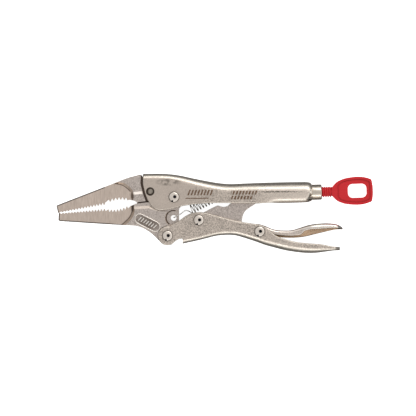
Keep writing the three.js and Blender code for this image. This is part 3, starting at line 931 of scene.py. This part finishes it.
def adjusting_screw():
    """A right-hand thread, as a surface of radius over length and turn."""
    start, end, around = -29.1, 8.3, 40
    loops = []
    for x in np.arange(start, end + 0.01, PITCH / 12):
        whole = smoothstep(x, start, start + 1.6) * smoothstep(end - x, -0.1, 0.8)
        taper = 0.5 * (1 - smoothstep(x, start, start + 1))
        loop = []
        for j in range(around):
            turn = 2 * math.pi * j / around
            phase = (x / PITCH - j / around) % 1
            ridge = float(smoothstep(1 - abs(2 * phase - 1), 0.1, 0.7))
            radius = ROOT_R + (CREST_R - ROOT_R) * ridge * (0.25 + 0.75 * whole) - taper
            loop.append((x, radius * math.cos(turn), radius * math.sin(turn)))
        loops.append(loop)
    return lay_along_axis(new_piece("adjusting_screw_thread", rings(loops)))


def lay_along_axis(piece):
    """Places a piece built along +X, with its plate in the tool's plane, on the screw's axis."""
    tilt = math.atan2(SCREW_AXIS[1], SCREW_AXIS[0])
    piece.data.transform(Matrix.Translation(Vector(SCREW_AT) * MM) @ Matrix.Rotation(tilt, 4, "Z"))
    return piece


KNOB_EDGE = [
    (8.33, 2.5), (8.75, 2.75), (9.6, 3.75), (11.6, 5.45), (15.0, 6.85), (18.6, 7.5), (22.6, 7.75),
    (26.4, 7.35), (29.4, 6.45),
]
KNOB_END = [
    (29.4, 6.45), (30.25, 5.7), (30.8, 2.6), (30.9, 0), (30.8, -2.6), (30.25, -5.7), (29.4, -6.45),
]
KNOB_PANEL = [
    (11.5, 3.0), (13.0, 4.7), (16.0, 5.75), (19.5, 6.25), (22.8, 6.4), (26.0, 6.05), (28.3, 5.3),
]
PANEL_END = [(28.3, 5.3), (29.3, 4.4), (29.5, 0), (29.3, -4.4), (28.3, -5.3)]
EYE_CENTRE_X = 22.25
EYE_HALF = (5.15, 3.8)
EYE_ROUND = 2.6


def mirrored(points, closing):
    """A closed outline from its upper half and the smooth stretch that closes its far end."""
    upper = through(points, 6)
    lower = [np.array([x, -y]) for x, y in reversed(upper)]
    return [*upper, *through(closing, 6)[1:-1], *lower]


def eye_line():
    """A rectangle with round corners."""
    line = []
    for sx, sy, first in ((1, 1, 0), (-1, 1, 90), (-1, -1, 180), (1, -1, 270)):
        centre = (EYE_CENTRE_X + sx * (EYE_HALF[0] - EYE_ROUND), sy * (EYE_HALF[1] - EYE_ROUND))
        for a in np.radians(np.linspace(first, first + 90, 9)):
            line.append(np.array(centre) + EYE_ROUND * np.array([math.cos(a), math.sin(a)]))
    return line


def screw_knob():
    """A flat key with an eye; each face has a sunk groove around a raised panel."""
    knob = prism(mirrored(KNOB_EDGE, KNOB_END), -KNOB_HALF, KNOB_HALF, "screw_key_head")
    bevel(knob, 0.95, 5, 25)
    panel = mirrored(KNOB_PANEL, PANEL_END)
    middle, groove = np.array([20.4, 0]), 0.5
    inner = [middle + (point - middle) * (1 - groove / np.hypot(*(point - middle))) for point in panel]
    deep, face, far = KNOB_HALF - 0.75, KNOB_HALF - 0.4, KNOB_HALF + 2
    cut(knob, prism(panel, deep, far), prism(panel, -far, -deep))
    join(knob, prism(inner, deep - 0.5, face), prism(inner, -face, 0.5 - deep))
    cut(knob, prism(eye_line(), -9, 9))
    bevel(knob, 0.18, 3, 38)
    return lay_along_axis(knob)


# Spring ------------------------------------------------------------------------------------------

WIRE_R = 0.26
COIL_R = 2.4


def tension_spring():
    """One wire: a hook in the jaw's ear, a close coil, and a hook over the tab in the upper handle."""
    start, end = np.array([9.2, -6.9, 0]), np.array([26.2, 1.6, 0])
    turns, per_turn = 11, 16
    axis = (end - start) / np.linalg.norm(end - start)
    side = np.array([-axis[1], axis[0], 0])
    line = [
        (0.7, -11.3, -2.95), (0.1, -11.3, -2.8), (-0.2, -11.2, 0), (0.2, -11.1, 2.8), (1.0, -10.8, 2.87),
        (4.0, -9.2, 2.87), (5.6, -7.6, 2.8), (7.4, -7.2, 2.3),
    ]
    steps = turns * per_turn
    for i in range(steps + 1):
        a = 2 * math.pi * i / per_turn
        at = start + (end - start) * i / steps - side * COIL_R * math.cos(a)
        line.append(at + np.array([0, 0, COIL_R * math.sin(a)]))
    line += [(28.0, 3.4, 2), (29.6, 3.4, 1.5), (29.6, 3.4, -1.5)]
    curve = bpy.data.curves.new("tension_spring_wire", "CURVE")
    curve.dimensions = "3D"
    curve.bevel_depth = WIRE_R * MM
    curve.bevel_resolution = 3
    curve.use_fill_caps = True
    spline = curve.splines.new("NURBS")
    spline.points.add(len(line) - 1)
    for point, (x, y, off) in zip(spline.points, line):
        point.co = (x * MM, y * MM, (MID_Z + off) * MM, 1)
    spline.use_endpoint_u = True
    spline.order_u = 3
    spline.resolution_u = 3
    wire = add_object("wire_curve", curve)
    graph = bpy.context.evaluated_depsgraph_get()
    mesh = bpy.data.meshes.new_from_object(wire.evaluated_get(graph))
    bpy.data.objects.remove(wire)
    return add_object("tension_spring_wire", mesh)


# Materials ---------------------------------------------------------------------------------------


class Nodes:
    """A small helper that adds nodes to a tree and links them."""

    def __init__(self, tree):
        self.tree = tree

    def node(self, kind, **settings):
        made = self.tree.nodes.new(kind)
        for key, value in settings.items():
            setattr(made, key, value)
        return made

    def feed(self, value, socket):
        """Links another socket's value to a socket, or sets a number or colour there."""
        if hasattr(value, "is_linked"):
            self.tree.links.new(value, socket)
        elif isinstance(value, tuple):
            socket.default_value = (*value, 1)
        else:
            socket.default_value = value

    def math(self, operation, *values):
        node = self.node("ShaderNodeMath", operation=operation)
        for socket, value in zip(node.inputs, values):
            self.feed(value, socket)
        return node.outputs[0]

    def chain(self, operation, first, *others):
        for other in others:
            first = self.math(operation, first, other)
        return first

    def times(self, *values):
        return self.chain("MULTIPLY", *values)

    def plus(self, *values):
        return self.chain("ADD", *values)

    def most(self, *values):
        return self.chain("MAXIMUM", *values)

    def spread(self, source, low, high, to_low=0.0, to_high=1.0):
        """Maps a value's range onto another, clamped."""
        node = self.node("ShaderNodeMapRange")
        keys = ("Value", "From Min", "From Max", "To Min", "To Max")
        for key, value in zip(keys, (source, low, high, to_low, to_high)):
            self.feed(value, node.inputs[key])
        return node.outputs["Result"]

    def mix(self, factor, first, second):
        """Mixes two colours, each a socket or a tuple."""
        node = self.node("ShaderNodeMix", data_type="RGBA")
        self.feed(factor, node.inputs["Factor"])
        colours = [socket for socket in node.inputs if socket.type == "RGBA"]
        for socket, value in zip(colours, (first, second)):
            self.feed(value, socket)
        return next(socket for socket in node.outputs if socket.type == "RGBA")

    def part(self, vector, key):
        split = self.node("ShaderNodeSeparateXYZ")
        self.feed(vector, split.inputs[0])
        return split.outputs[key]


class Look(Nodes):
    """A Principled material whose patterns lie in the piece's own millimetres."""

    def __init__(self, name):
        self.material = bpy.data.materials.new(name)
        self.material.use_nodes = True
        super().__init__(self.material.node_tree)
        self.shader = self.tree.nodes["Principled BSDF"]
        coordinates = self.node("ShaderNodeTexCoord").outputs
        self.place, self.normal = coordinates["Object"], coordinates["Normal"]

    def noise(self, per_mm, detail=3.0, stretch=(1, 1, 1), roughness=0.55):
        """Noise with about per_mm features in a millimetre, longer along the axes with a small stretch."""
        mapping = self.node("ShaderNodeMapping")
        mapping.inputs["Scale"].default_value = [s * per_mm / MM for s in stretch]
        self.feed(self.place, mapping.inputs["Vector"])
        noise = self.node("ShaderNodeTexNoise")
        noise.inputs["Scale"].default_value = 1.0
        noise.inputs["Detail"].default_value = detail
        noise.inputs["Roughness"].default_value = roughness
        self.feed(mapping.outputs["Vector"], noise.inputs["Vector"])
        return noise.outputs["Fac"]

    def shades(self, source, low, high, first, second):
        """A colour between two, by where a value lies in a range."""
        return self.mix(self.spread(source, low, high), first, second)

    def along(self, key, low, high, to_low=0.0, to_high=1.0):
        """Maps a stretch of an axis, in millimetres, onto another range, clamped."""
        return self.spread(self.part(self.place, key), low * MM, high * MM, to_low, to_high)

    def off_middle(self, low, high, to_low, to_high):
        """The same for the distance from the tool's middle plane."""
        distance = self.math("ABSOLUTE", self.plus(self.part(self.place, "Z"), -MID_Z * MM))
        return self.spread(distance, low * MM, high * MM, to_low, to_high)

    def side_face(self, low=0.86, high=0.985):
        """1 on the flat side faces and 0 on bends and edges, from the piece's own normal."""
        return self.spread(self.math("ABSOLUTE", self.part(self.normal, "Z")), low, high)

    def inward(self):
        """1 on the faces that look toward the tool's middle plane."""
        beyond = self.along("Z", MID_Z - 0.5, MID_Z + 0.5, 1, -1)
        return self.spread(self.times(self.part(self.normal, "Z"), beyond), 0.3, 0.7)

    def place_mask(self, centre, reach):
        """1 at a place in the tool's plane, falling to 0 at `reach` millimetres from it along X and Y."""
        squares = []
        for key, middle, far in zip("XY", centre, reach):
            offset = self.math("DIVIDE", self.plus(self.part(self.place, key), -middle * MM), far * MM)
            squares.append(self.times(offset, offset))
        return self.spread(self.plus(*squares), 0.15, 1.0, 1.0, 0.0)

    def set(self, **values):
        for key, value in values.items():
            self.feed(value, self.shader.inputs[key.replace("_", " ")])

    def finish(self, height, strength, distance, **values):
        """Sets the shader's values and a bump of `distance` millimetres, and returns the material."""
        self.set(**values)
        node = self.node("ShaderNodeBump")
        node.inputs["Strength"].default_value = strength
        node.inputs["Distance"].default_value = distance * MM
        self.feed(height, node.inputs["Height"])
        self.feed(node.outputs["Normal"], self.shader.inputs["Normal"])
        return self.material

    def metal(self, colour, rough, height, strength, distance):
        return self.finish(height, strength, distance, Base_Color=colour, Metallic=1.0, Roughness=rough)


# A dark brown for painted shade inside the handles' channels, for a painted dark reflection on the upper
# handle, and for a dark line along its grip.
SHADE_AND_WEAR_DARK = (0.10, 0.085, 0.07)
# A dark brown for the painted shade on the jaws.
PAINTED_JAW_SHADE = (0.09, 0.06, 0.045)
ETCHED = (0.17, 0.10, 0.06)
# Rows of plain slanted bars etched on the upper handle: start, end, low and high in millimetres,
# the bars' pitch, and the share of the pitch that a bar fills.
ETCHED_ROWS = [
    (6.6, 20.4, 0.9, 4.0, 1.75, 0.52),
    (6.6, 19.2, -1.0, -0.45, 30.0, 1.0),
    (30.6, 44.6, 1.3, 3.5, 1.75, 0.6),
    (31.6, 43.4, -1.3, 0.7, 1.75, 0.6),
]


def etched_bars(look):
    """A mask of the etched rows."""
    x, y = look.part(look.place, "X"), look.part(look.place, "Y")
    slanted = look.plus(x, look.times(y, -0.35))
    rows = []
    for start, end, low, high, pitch, fill in ETCHED_ROWS:
        saw = look.math("FRACT", look.math("DIVIDE", slanted, pitch * MM))
        bar = look.math("LESS_THAN", saw, fill)
        for axis, first, last in ((slanted, start, end), (y, low, high)):
            bar = look.times(bar, look.math("GREATER_THAN", axis, first * MM))
            bar = look.times(bar, look.math("LESS_THAN", axis, last * MM))
        rows.append(bar)
    return look.most(*rows)


def speckled(look, dark, bright, cloud_to, coarse=1.35):
    """The colour, height and clouding of a blasted plated surface: fine grain, with slow clouding."""
    fine = look.noise(coarse * 2.1, 3.0)
    large = look.noise(coarse, 2.0, roughness=0.6)
    grain = look.plus(look.times(fine, 0.45), look.times(large, 0.55))
    cloud = look.noise(0.12, 3.0)
    colour = look.shades(grain, 0.36, 0.64, dark, bright)
    colour = look.mix(look.spread(cloud, 0.35, 0.75, 0.0, 0.5), colour, cloud_to)
    return colour, grain, cloud


def sheet_look(name, etched=False):
    """Fine blasted flat sides, smoother and brighter on the bends, with painted shade on the faces inside the
    channel. The upper handle also has a painted dark reflection by its front corner and a grainy dark line
    along the grip.
    """
    look = Look(name)
    sides, grain, cloud = speckled(look, (0.20, 0.17, 0.145), (0.88, 0.77, 0.67), (0.64, 0.555, 0.48))
    flat = look.side_face()
    bends = look.shades(grain, 0.38, 0.62, (0.56, 0.50, 0.43), (0.80, 0.74, 0.65))
    if etched:
        calm_front, bright_grip = look.along("X", 4, 26, 0.8, 0.0), look.along("X", 44, 54, 0.0, 0.55)
        sides = look.mix(calm_front, sides, (0.60, 0.515, 0.445))
        sides = look.mix(bright_grip, sides, (0.80, 0.70, 0.61))
        # A painted dark reflection in blotches by the upper handle's front corner, and a grainy dark line
        # along the grip.
        blotches = look.spread(look.noise(0.35, 4.0), 0.36, 0.56, 0.0, 0.85)
        painted_reflection = look.times(look.place_mask((-3.0, 8.2), (7.5, 2.3)), blotches)
        line = look.times(look.place_mask((58, 2.9), (16, 0.6)), look.spread(grain, 0.46, 0.56, 1.0, 0.1))
        sides = look.mix(look.most(painted_reflection, line), sides, SHADE_AND_WEAR_DARK)
    colour = look.mix(flat, bends, sides)
    # Painted shade: the faces inside the channel are darkened, most toward the rear end.
    inside = look.times(look.inward(), look.along("X", 68, 72, 0.35, 0.9))
    colour = look.mix(inside, colour, SHADE_AND_WEAR_DARK)
    if etched:
        worn = look.spread(look.noise(1.6, 3.0), 0.32, 0.5, 0.55, 0.97)
        colour = look.mix(look.times(etched_bars(look), worn, flat), colour, ETCHED)
    rough = look.plus(look.spread(flat, 0, 1, 0.31, 0.40), look.spread(cloud, 0.3, 0.7, -0.04, 0.05))
    return look.metal(colour, rough, look.times(grain, look.spread(flat, 0, 1, 0.6, 1.0)), 0.6, 0.11)


def forged_look(name, ground=True):
    """A forging under satin nickel; ahead of the shoulders its faces are ground with upright grain. On the
    jaws it has a painted highlight on the fixed jaw's band edge, and painted shade in the grooves, corners
    and badge and along the nose's edges.
    """
    look = Look(name)
    body, grain, cloud = speckled(look, (0.34, 0.29, 0.26), (0.76, 0.67, 0.61), (0.59, 0.525, 0.475), 1.5)
    flat = look.side_face(0.75, 0.96)
    colour = look.mix(flat, (0.66, 0.57, 0.49), body)
    height = grain
    if ground:
        lines = look.noise(2.6, 3.0, stretch=(1, 0.09, 0.3))
        nose_face = look.off_middle(NOSE_HALF + 0.1, NOSE_HALF + 0.3, 1, 0)
        ahead = look.times(look.along("X", -23.2, -22.9, 1, 0), flat, nose_face)
        brushed = look.shades(lines, 0.3, 0.7, (0.56, 0.46, 0.39), (0.72, 0.605, 0.52))
        colour = look.mix(ahead, colour, brushed)
        height = look.plus(look.times(lines, ahead), look.times(grain, look.spread(ahead, 0, 1, 0.8, 0.15)))
        # A painted highlight on the sloping upper edge of the fixed jaw's sunk band beside the seam.
        ledge_highlight = look.times(look.place_mask((-20.2, 2.2), (4.0, 1.6)), look.spread(flat, 0.2, 0.5, 1, 0))
        colour = look.mix(ledge_highlight, colour, (1.0, 0.93, 0.86))
        # Painted shade in the jaws' grooves and corners, in the sunk badge and along the nose's edges.
        colour = look.mix(jaw_painted_shade(look, flat), colour, PAINTED_JAW_SHADE)
    return look.metal(colour, look.spread(cloud, 0.3, 0.7, 0.34, 0.44), height, 0.5, 0.1)


def jaw_painted_shade(look, flat):
    """A mask of painted shade in the jaws' grooves and corners, in the sunk badge and along the edges of the
    nose.
    """
    shoulder = look.times(look.along("X", -33, -31), look.along("X", -21, -20.5, 1, 0))
    shoulder = look.times(shoulder, look.off_middle(3.5, 3.8, 0.8, 0))
    hollow = look.times(look.along("X", -20, -19.5), look.off_middle(1.6, 2.1, 0.9, 0))
    corners = [look.place_mask(at, (1.15, 2.8)) for at in ((-22.9, 0.6), (-22.8, -6.0))]
    badge = look.place_mask(BADGE_AT, (9.5, 6.0))
    badge = look.times(badge, look.off_middle(JAW_HALF - 0.9, JAW_HALF - 0.6, 0.6, 0))
    sloping = look.times(look.side_face(0.1, 0.35), look.side_face(0.92, 0.75))
    edges = look.times(sloping, look.along("X", -36, -30, 0.75, 0))
    grooves = look.times(look.most(shoulder, hollow), flat)
    return look.most(grooves, look.times(look.most(*corners), 0.75), badge, edges)


def polished_look(name, low, high, rough, per_mm):
    """Smooth plated steel with faint clouding and fine scratches."""
    look = Look(name)
    scratch = look.noise(per_mm, 3.0, stretch=(0.25, 1, 1))
    colour = look.shades(look.noise(0.35, 4.0), 0.3, 0.7, low, high)
    return look.metal(colour, look.spread(scratch, 0.3, 0.7, rough - 0.05, rough + 0.06), scratch, 0.12, 0.03)


def lever_look():
    """Smooth plating, blasted on the narrow part's flat sides, with painted brown shade on the faces inside
    the channel.
    """
    look = Look("lever_steel")
    sides, grain, cloud = speckled(look, (0.46, 0.39, 0.34), (0.84, 0.74, 0.66), (0.70, 0.62, 0.55))
    narrow = look.times(look.side_face(), look.along("X", 70, 73, 1, 0))
    colour = look.mix(narrow, look.shades(cloud, 0.3, 0.7, (0.73, 0.66, 0.59), (0.82, 0.77, 0.71)), sides)
    # Painted shade: brown on the faces that look inward, inside the channel.
    inside = look.shades(grain, 0.35, 0.65, (0.50, 0.33, 0.21), (0.74, 0.54, 0.37))
    colour = look.mix(look.inward(), colour, inside)
    height = look.times(grain, look.spread(narrow, 0, 1, 0.03, 1.0))
    return look.metal(colour, look.spread(narrow, 0, 1, 0.26, 0.4), height, 0.5, 0.1)


def rivet_look():
    """Plated heads with fine grain, with painted shade round the rim and down in the punch mark and the
    notch.
    """
    look = Look("rivet_head_steel")
    fine = look.noise(2.4, 3.0)
    colour = look.shades(look.noise(0.5, 4.0), 0.3, 0.7, (0.76, 0.68, 0.60), (0.90, 0.82, 0.74))
    # Painted shade: dark round the head's rounded rim, and darkest down in the punch mark and the notch.
    head = look.along("Z", HEAD_TOP - 1.7, HEAD_TOP - 1.6)
    rim = look.along("Z", HEAD_TOP - 0.5, HEAD_TOP - 0.14, 1, 0)
    deep = look.along("Z", HEAD_TOP - 0.75, HEAD_TOP - 0.45, 1, 0)
    colour = look.mix(look.times(rim, head), colour, (0.10, 0.075, 0.055))
    colour = look.mix(look.times(deep, head), colour, (0.02, 0.02, 0.025))
    return look.metal(colour, look.spread(fine, 0.3, 0.7, 0.26, 0.38), fine, 0.3, 0.05)


def pin_look():
    """Dark steel with a lighter middle."""
    look = Look("sunk_pin_steel")
    grain = look.noise(1.6, 4.0)
    colour = look.shades(grain, 0.35, 0.7, (0.07, 0.055, 0.045), (0.12, 0.10, 0.08))
    centre = look.place_mask((FIXED_PIN[0] + 0.25, FIXED_PIN[1] + 0.1), (1.5, 1.5))
    colour = look.mix(centre, colour, (0.36, 0.32, 0.27))
    return look.metal(colour, look.spread(grain, 0.3, 0.7, 0.35, 0.5), grain, 0.1, 0.04)


def red_look():
    """Powder coat: fine orange peel, with faint clouding."""
    look = Look("red_powder_coat")
    peel = look.noise(1.8, 3.0)
    colour = look.shades(look.noise(0.12, 3.0), 0.3, 0.7, (0.50, 0.010, 0.014), (0.56, 0.013, 0.019))
    colour = look.mix(look.spread(peel, 0.55, 0.85), colour, (0.56, 0.028, 0.036))
    rough = look.spread(peel, 0.3, 0.7, 0.40, 0.52)
    return look.finish(peel, 0.25, 0.05, Base_Color=colour, Roughness=rough, Specular_IOR_Level=0.35)


# Assembly ----------------------------------------------------------------------------------------

BODY_OF = {node: body for body, nodes in frame["record"]["behaviour"]["bodies"].items() for node in nodes}


def paint(piece, material):
    piece.data.materials.clear()
    piece.data.materials.append(material)
    piece.data.polygons.foreach_set("material_index", [0] * len(piece.data.polygons))


def finish_piece(piece, node, material, smooth=40):
    """Gives a piece its material and shading, and makes it ride for its node."""
    paint(piece, material)
    shade(piece, smooth)
    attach(piece, BODY_OF[node])
    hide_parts(node)


def build_object():
    handle_steel = sheet_look("upper_handle_steel", etched=True)
    plain_steel = sheet_look("lower_handle_steel")
    jaw_steel = forged_look("jaw_steel")
    link_steel = forged_look("link_steel", ground=False)
    lever_steel = lever_look()
    head_steel = rivet_look()
    bush_steel = polished_look("bush_steel", (0.58, 0.51, 0.43), (0.74, 0.67, 0.58), 0.28, 1.0)
    wire_steel = polished_look("wire_steel", (0.80, 0.79, 0.75), (0.92, 0.91, 0.88), 0.35, 2.0)
    red = red_look()
    finish_piece(upper_handle(), "upper_handle", handle_steel, 50)
    finish_piece(lower_handle(), "lower_handle", plain_steel, 50)
    finish_piece(release_lever(), "release_lever", lever_steel, 50)
    finish_piece(fixed_jaw(), "fixed_jaw", jaw_steel, 30)
    finish_piece(moving_jaw(), "moving_jaw", jaw_steel, 30)
    finish_piece(toggle_link(), "toggle_link", link_steel)
    finish_piece(fixed_jaw_pin(), "fixed_jaw_pin", pin_look())
    finish_piece(handle_nut(), "handle_nut", bush_steel)
    finish_piece(adjusting_screw(), "adjusting_screw", red, 70)
    finish_piece(screw_knob(), "screw_knob", red)
    for name, node, at in (
        ("main_pivot_head", "main_pivot_rivet", MAIN),
        ("jaw_handle_head", "jaw_handle_rivet", JAW_PIN),
        ("link_head", "link_rivet", LINK_PIN),
        ("lever_head", "lever_rivet", LEVER_PIN),
    ):
        rivet(name, node, at, head_steel)
    marks = badge_marks()
    paint(marks, polished_look("badge_steel", (0.80, 0.74, 0.68), (0.92, 0.88, 0.82), 0.3, 2.0))
    shade(marks, 40)
    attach(marks, BODY_OF["moving_jaw"])
    spring = tension_spring()
    paint(spring, wire_steel)
    spring.data.polygons.foreach_set("use_smooth", [True] * len(spring.data.polygons))
    start, end = (0.004, -0.0085, MID_Z * MM), (0.0275, 0.0025, MID_Z * MM)
    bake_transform(spring)
    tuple(start)
    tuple(end)
    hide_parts("tension_spring")


# Stage, light and camera -------------------------------------------------------------------------

VIEW_CENTRE = (18.7, -6.05)
VIEW_WIDTH = 228.8
CAMERA_HIGH = 5000.0
FLOOR_GLOW = 0.9
FLOOR_SIZE_M = 6.0
FLOOR_DROP_M = 0.0002
# The studio's brightness by the height of the direction, from straight down (-1) to straight up (1).
STUDIO = [
    (-1, 0.5), (-0.75, 0.2), (-0.25, 0.14), (0.0, 0.18), (0.14, 0.6), (0.3, 1.05), (0.55, 1.02),
    (0.8, 0.78), (1, 0.66),
]
STUDIO_LEAN = (0.3, 0.06)  # how much brighter the studio gets toward +X and +Y
# Name, place and size in metres, and power in watts.
LIGHTS = (
    ("key", (0.3, 0.75, 0.7), (0.7, 0.25), 2.2),
    ("fill", (-0.1, -0.8, 0.6), (0.7, 0.2), 1.2),
)
LIT_PLACE_M = Vector((0.02, -0.005, 0))


def build_stage():
    """A white floor that glows a little, so that it stays pale under the tool."""
    bpy.ops.mesh.primitive_plane_add(size=FLOOR_SIZE_M, location=(0, 0, -FLOOR_DROP_M))
    floor = bpy.context.object
    floor.name = "floor"
    look = Look("floor_white")
    colour = look.shades(look.noise(0.4, 3.0), 0.3, 0.7, (0.93,) * 3, (0.92535,) * 3)
    look.set(Base_Color=colour, Roughness=0.9, Emission_Color=(1, 1, 1), Emission_Strength=FLOOR_GLOW)
    floor.data.materials.append(look.material)
    floor.visible_glossy = False


def area_light(name, at, size, power):
    data = bpy.data.lights.new(name, "AREA")
    data.shape = "RECTANGLE"
    data.size, data.size_y = size
    data.energy = power
    light = add_object(name, data)
    light.location = at
    light.rotation_euler = (LIT_PLACE_M - Vector(at)).to_track_quat("-Z", "Y").to_euler()


def build_light():
    """A studio that is brightest at mid height, seen as plain white by the camera, and two soft lights."""
    world = bpy.data.worlds.new("studio")
    world.use_nodes = True
    studio = Nodes(world.node_tree)
    direction = studio.node("ShaderNodeTexCoord").outputs["Generated"]
    ramp = studio.node("ShaderNodeValToRGB")
    brightest = max(value for _, value in STUDIO)
    for _ in STUDIO[2:]:
        ramp.color_ramp.elements.new(0.5)
    for element, (at, value) in zip(ramp.color_ramp.elements, STUDIO):
        element.position = (at + 1) / 2
        element.color = (*[value / brightest] * 3, 1)
    studio.feed(studio.spread(studio.part(direction, "Z"), -1, 1), ramp.inputs["Fac"])
    leans = []
    for key, share in zip("XY", STUDIO_LEAN):
        leans.append(studio.times(studio.part(direction, key), share * brightest))
    lit = studio.node("ShaderNodeVectorMath", operation="SCALE")
    studio.feed(ramp.outputs["Color"], lit.inputs[0])
    studio.feed(studio.plus(*leans, brightest), lit.inputs["Scale"])
    seen = studio.node("ShaderNodeLightPath").outputs["Is Camera Ray"]
    background = studio.tree.nodes["Background"]
    studio.feed(studio.mix(seen, lit.outputs[0], (1, 1, 1)), background.inputs["Color"])
    bpy.context.scene.world = world
    for light in LIGHTS:
        area_light(*light)


def build_camera():
    data = bpy.data.cameras.new("camera")
    data.sensor_width = 36.0
    data.lens = data.sensor_width * CAMERA_HIGH / VIEW_WIDTH
    data.clip_end = 30.0
    camera = add_object("camera", data)
    camera.location = (VIEW_CENTRE[0] * MM, VIEW_CENTRE[1] * MM, (CAMERA_HIGH + MID_Z) * MM)
    bpy.context.scene.camera = camera


build_stage()
build_light()
build_camera()
build_object()

bpy.context.scene.view_settings.view_transform = "Standard"
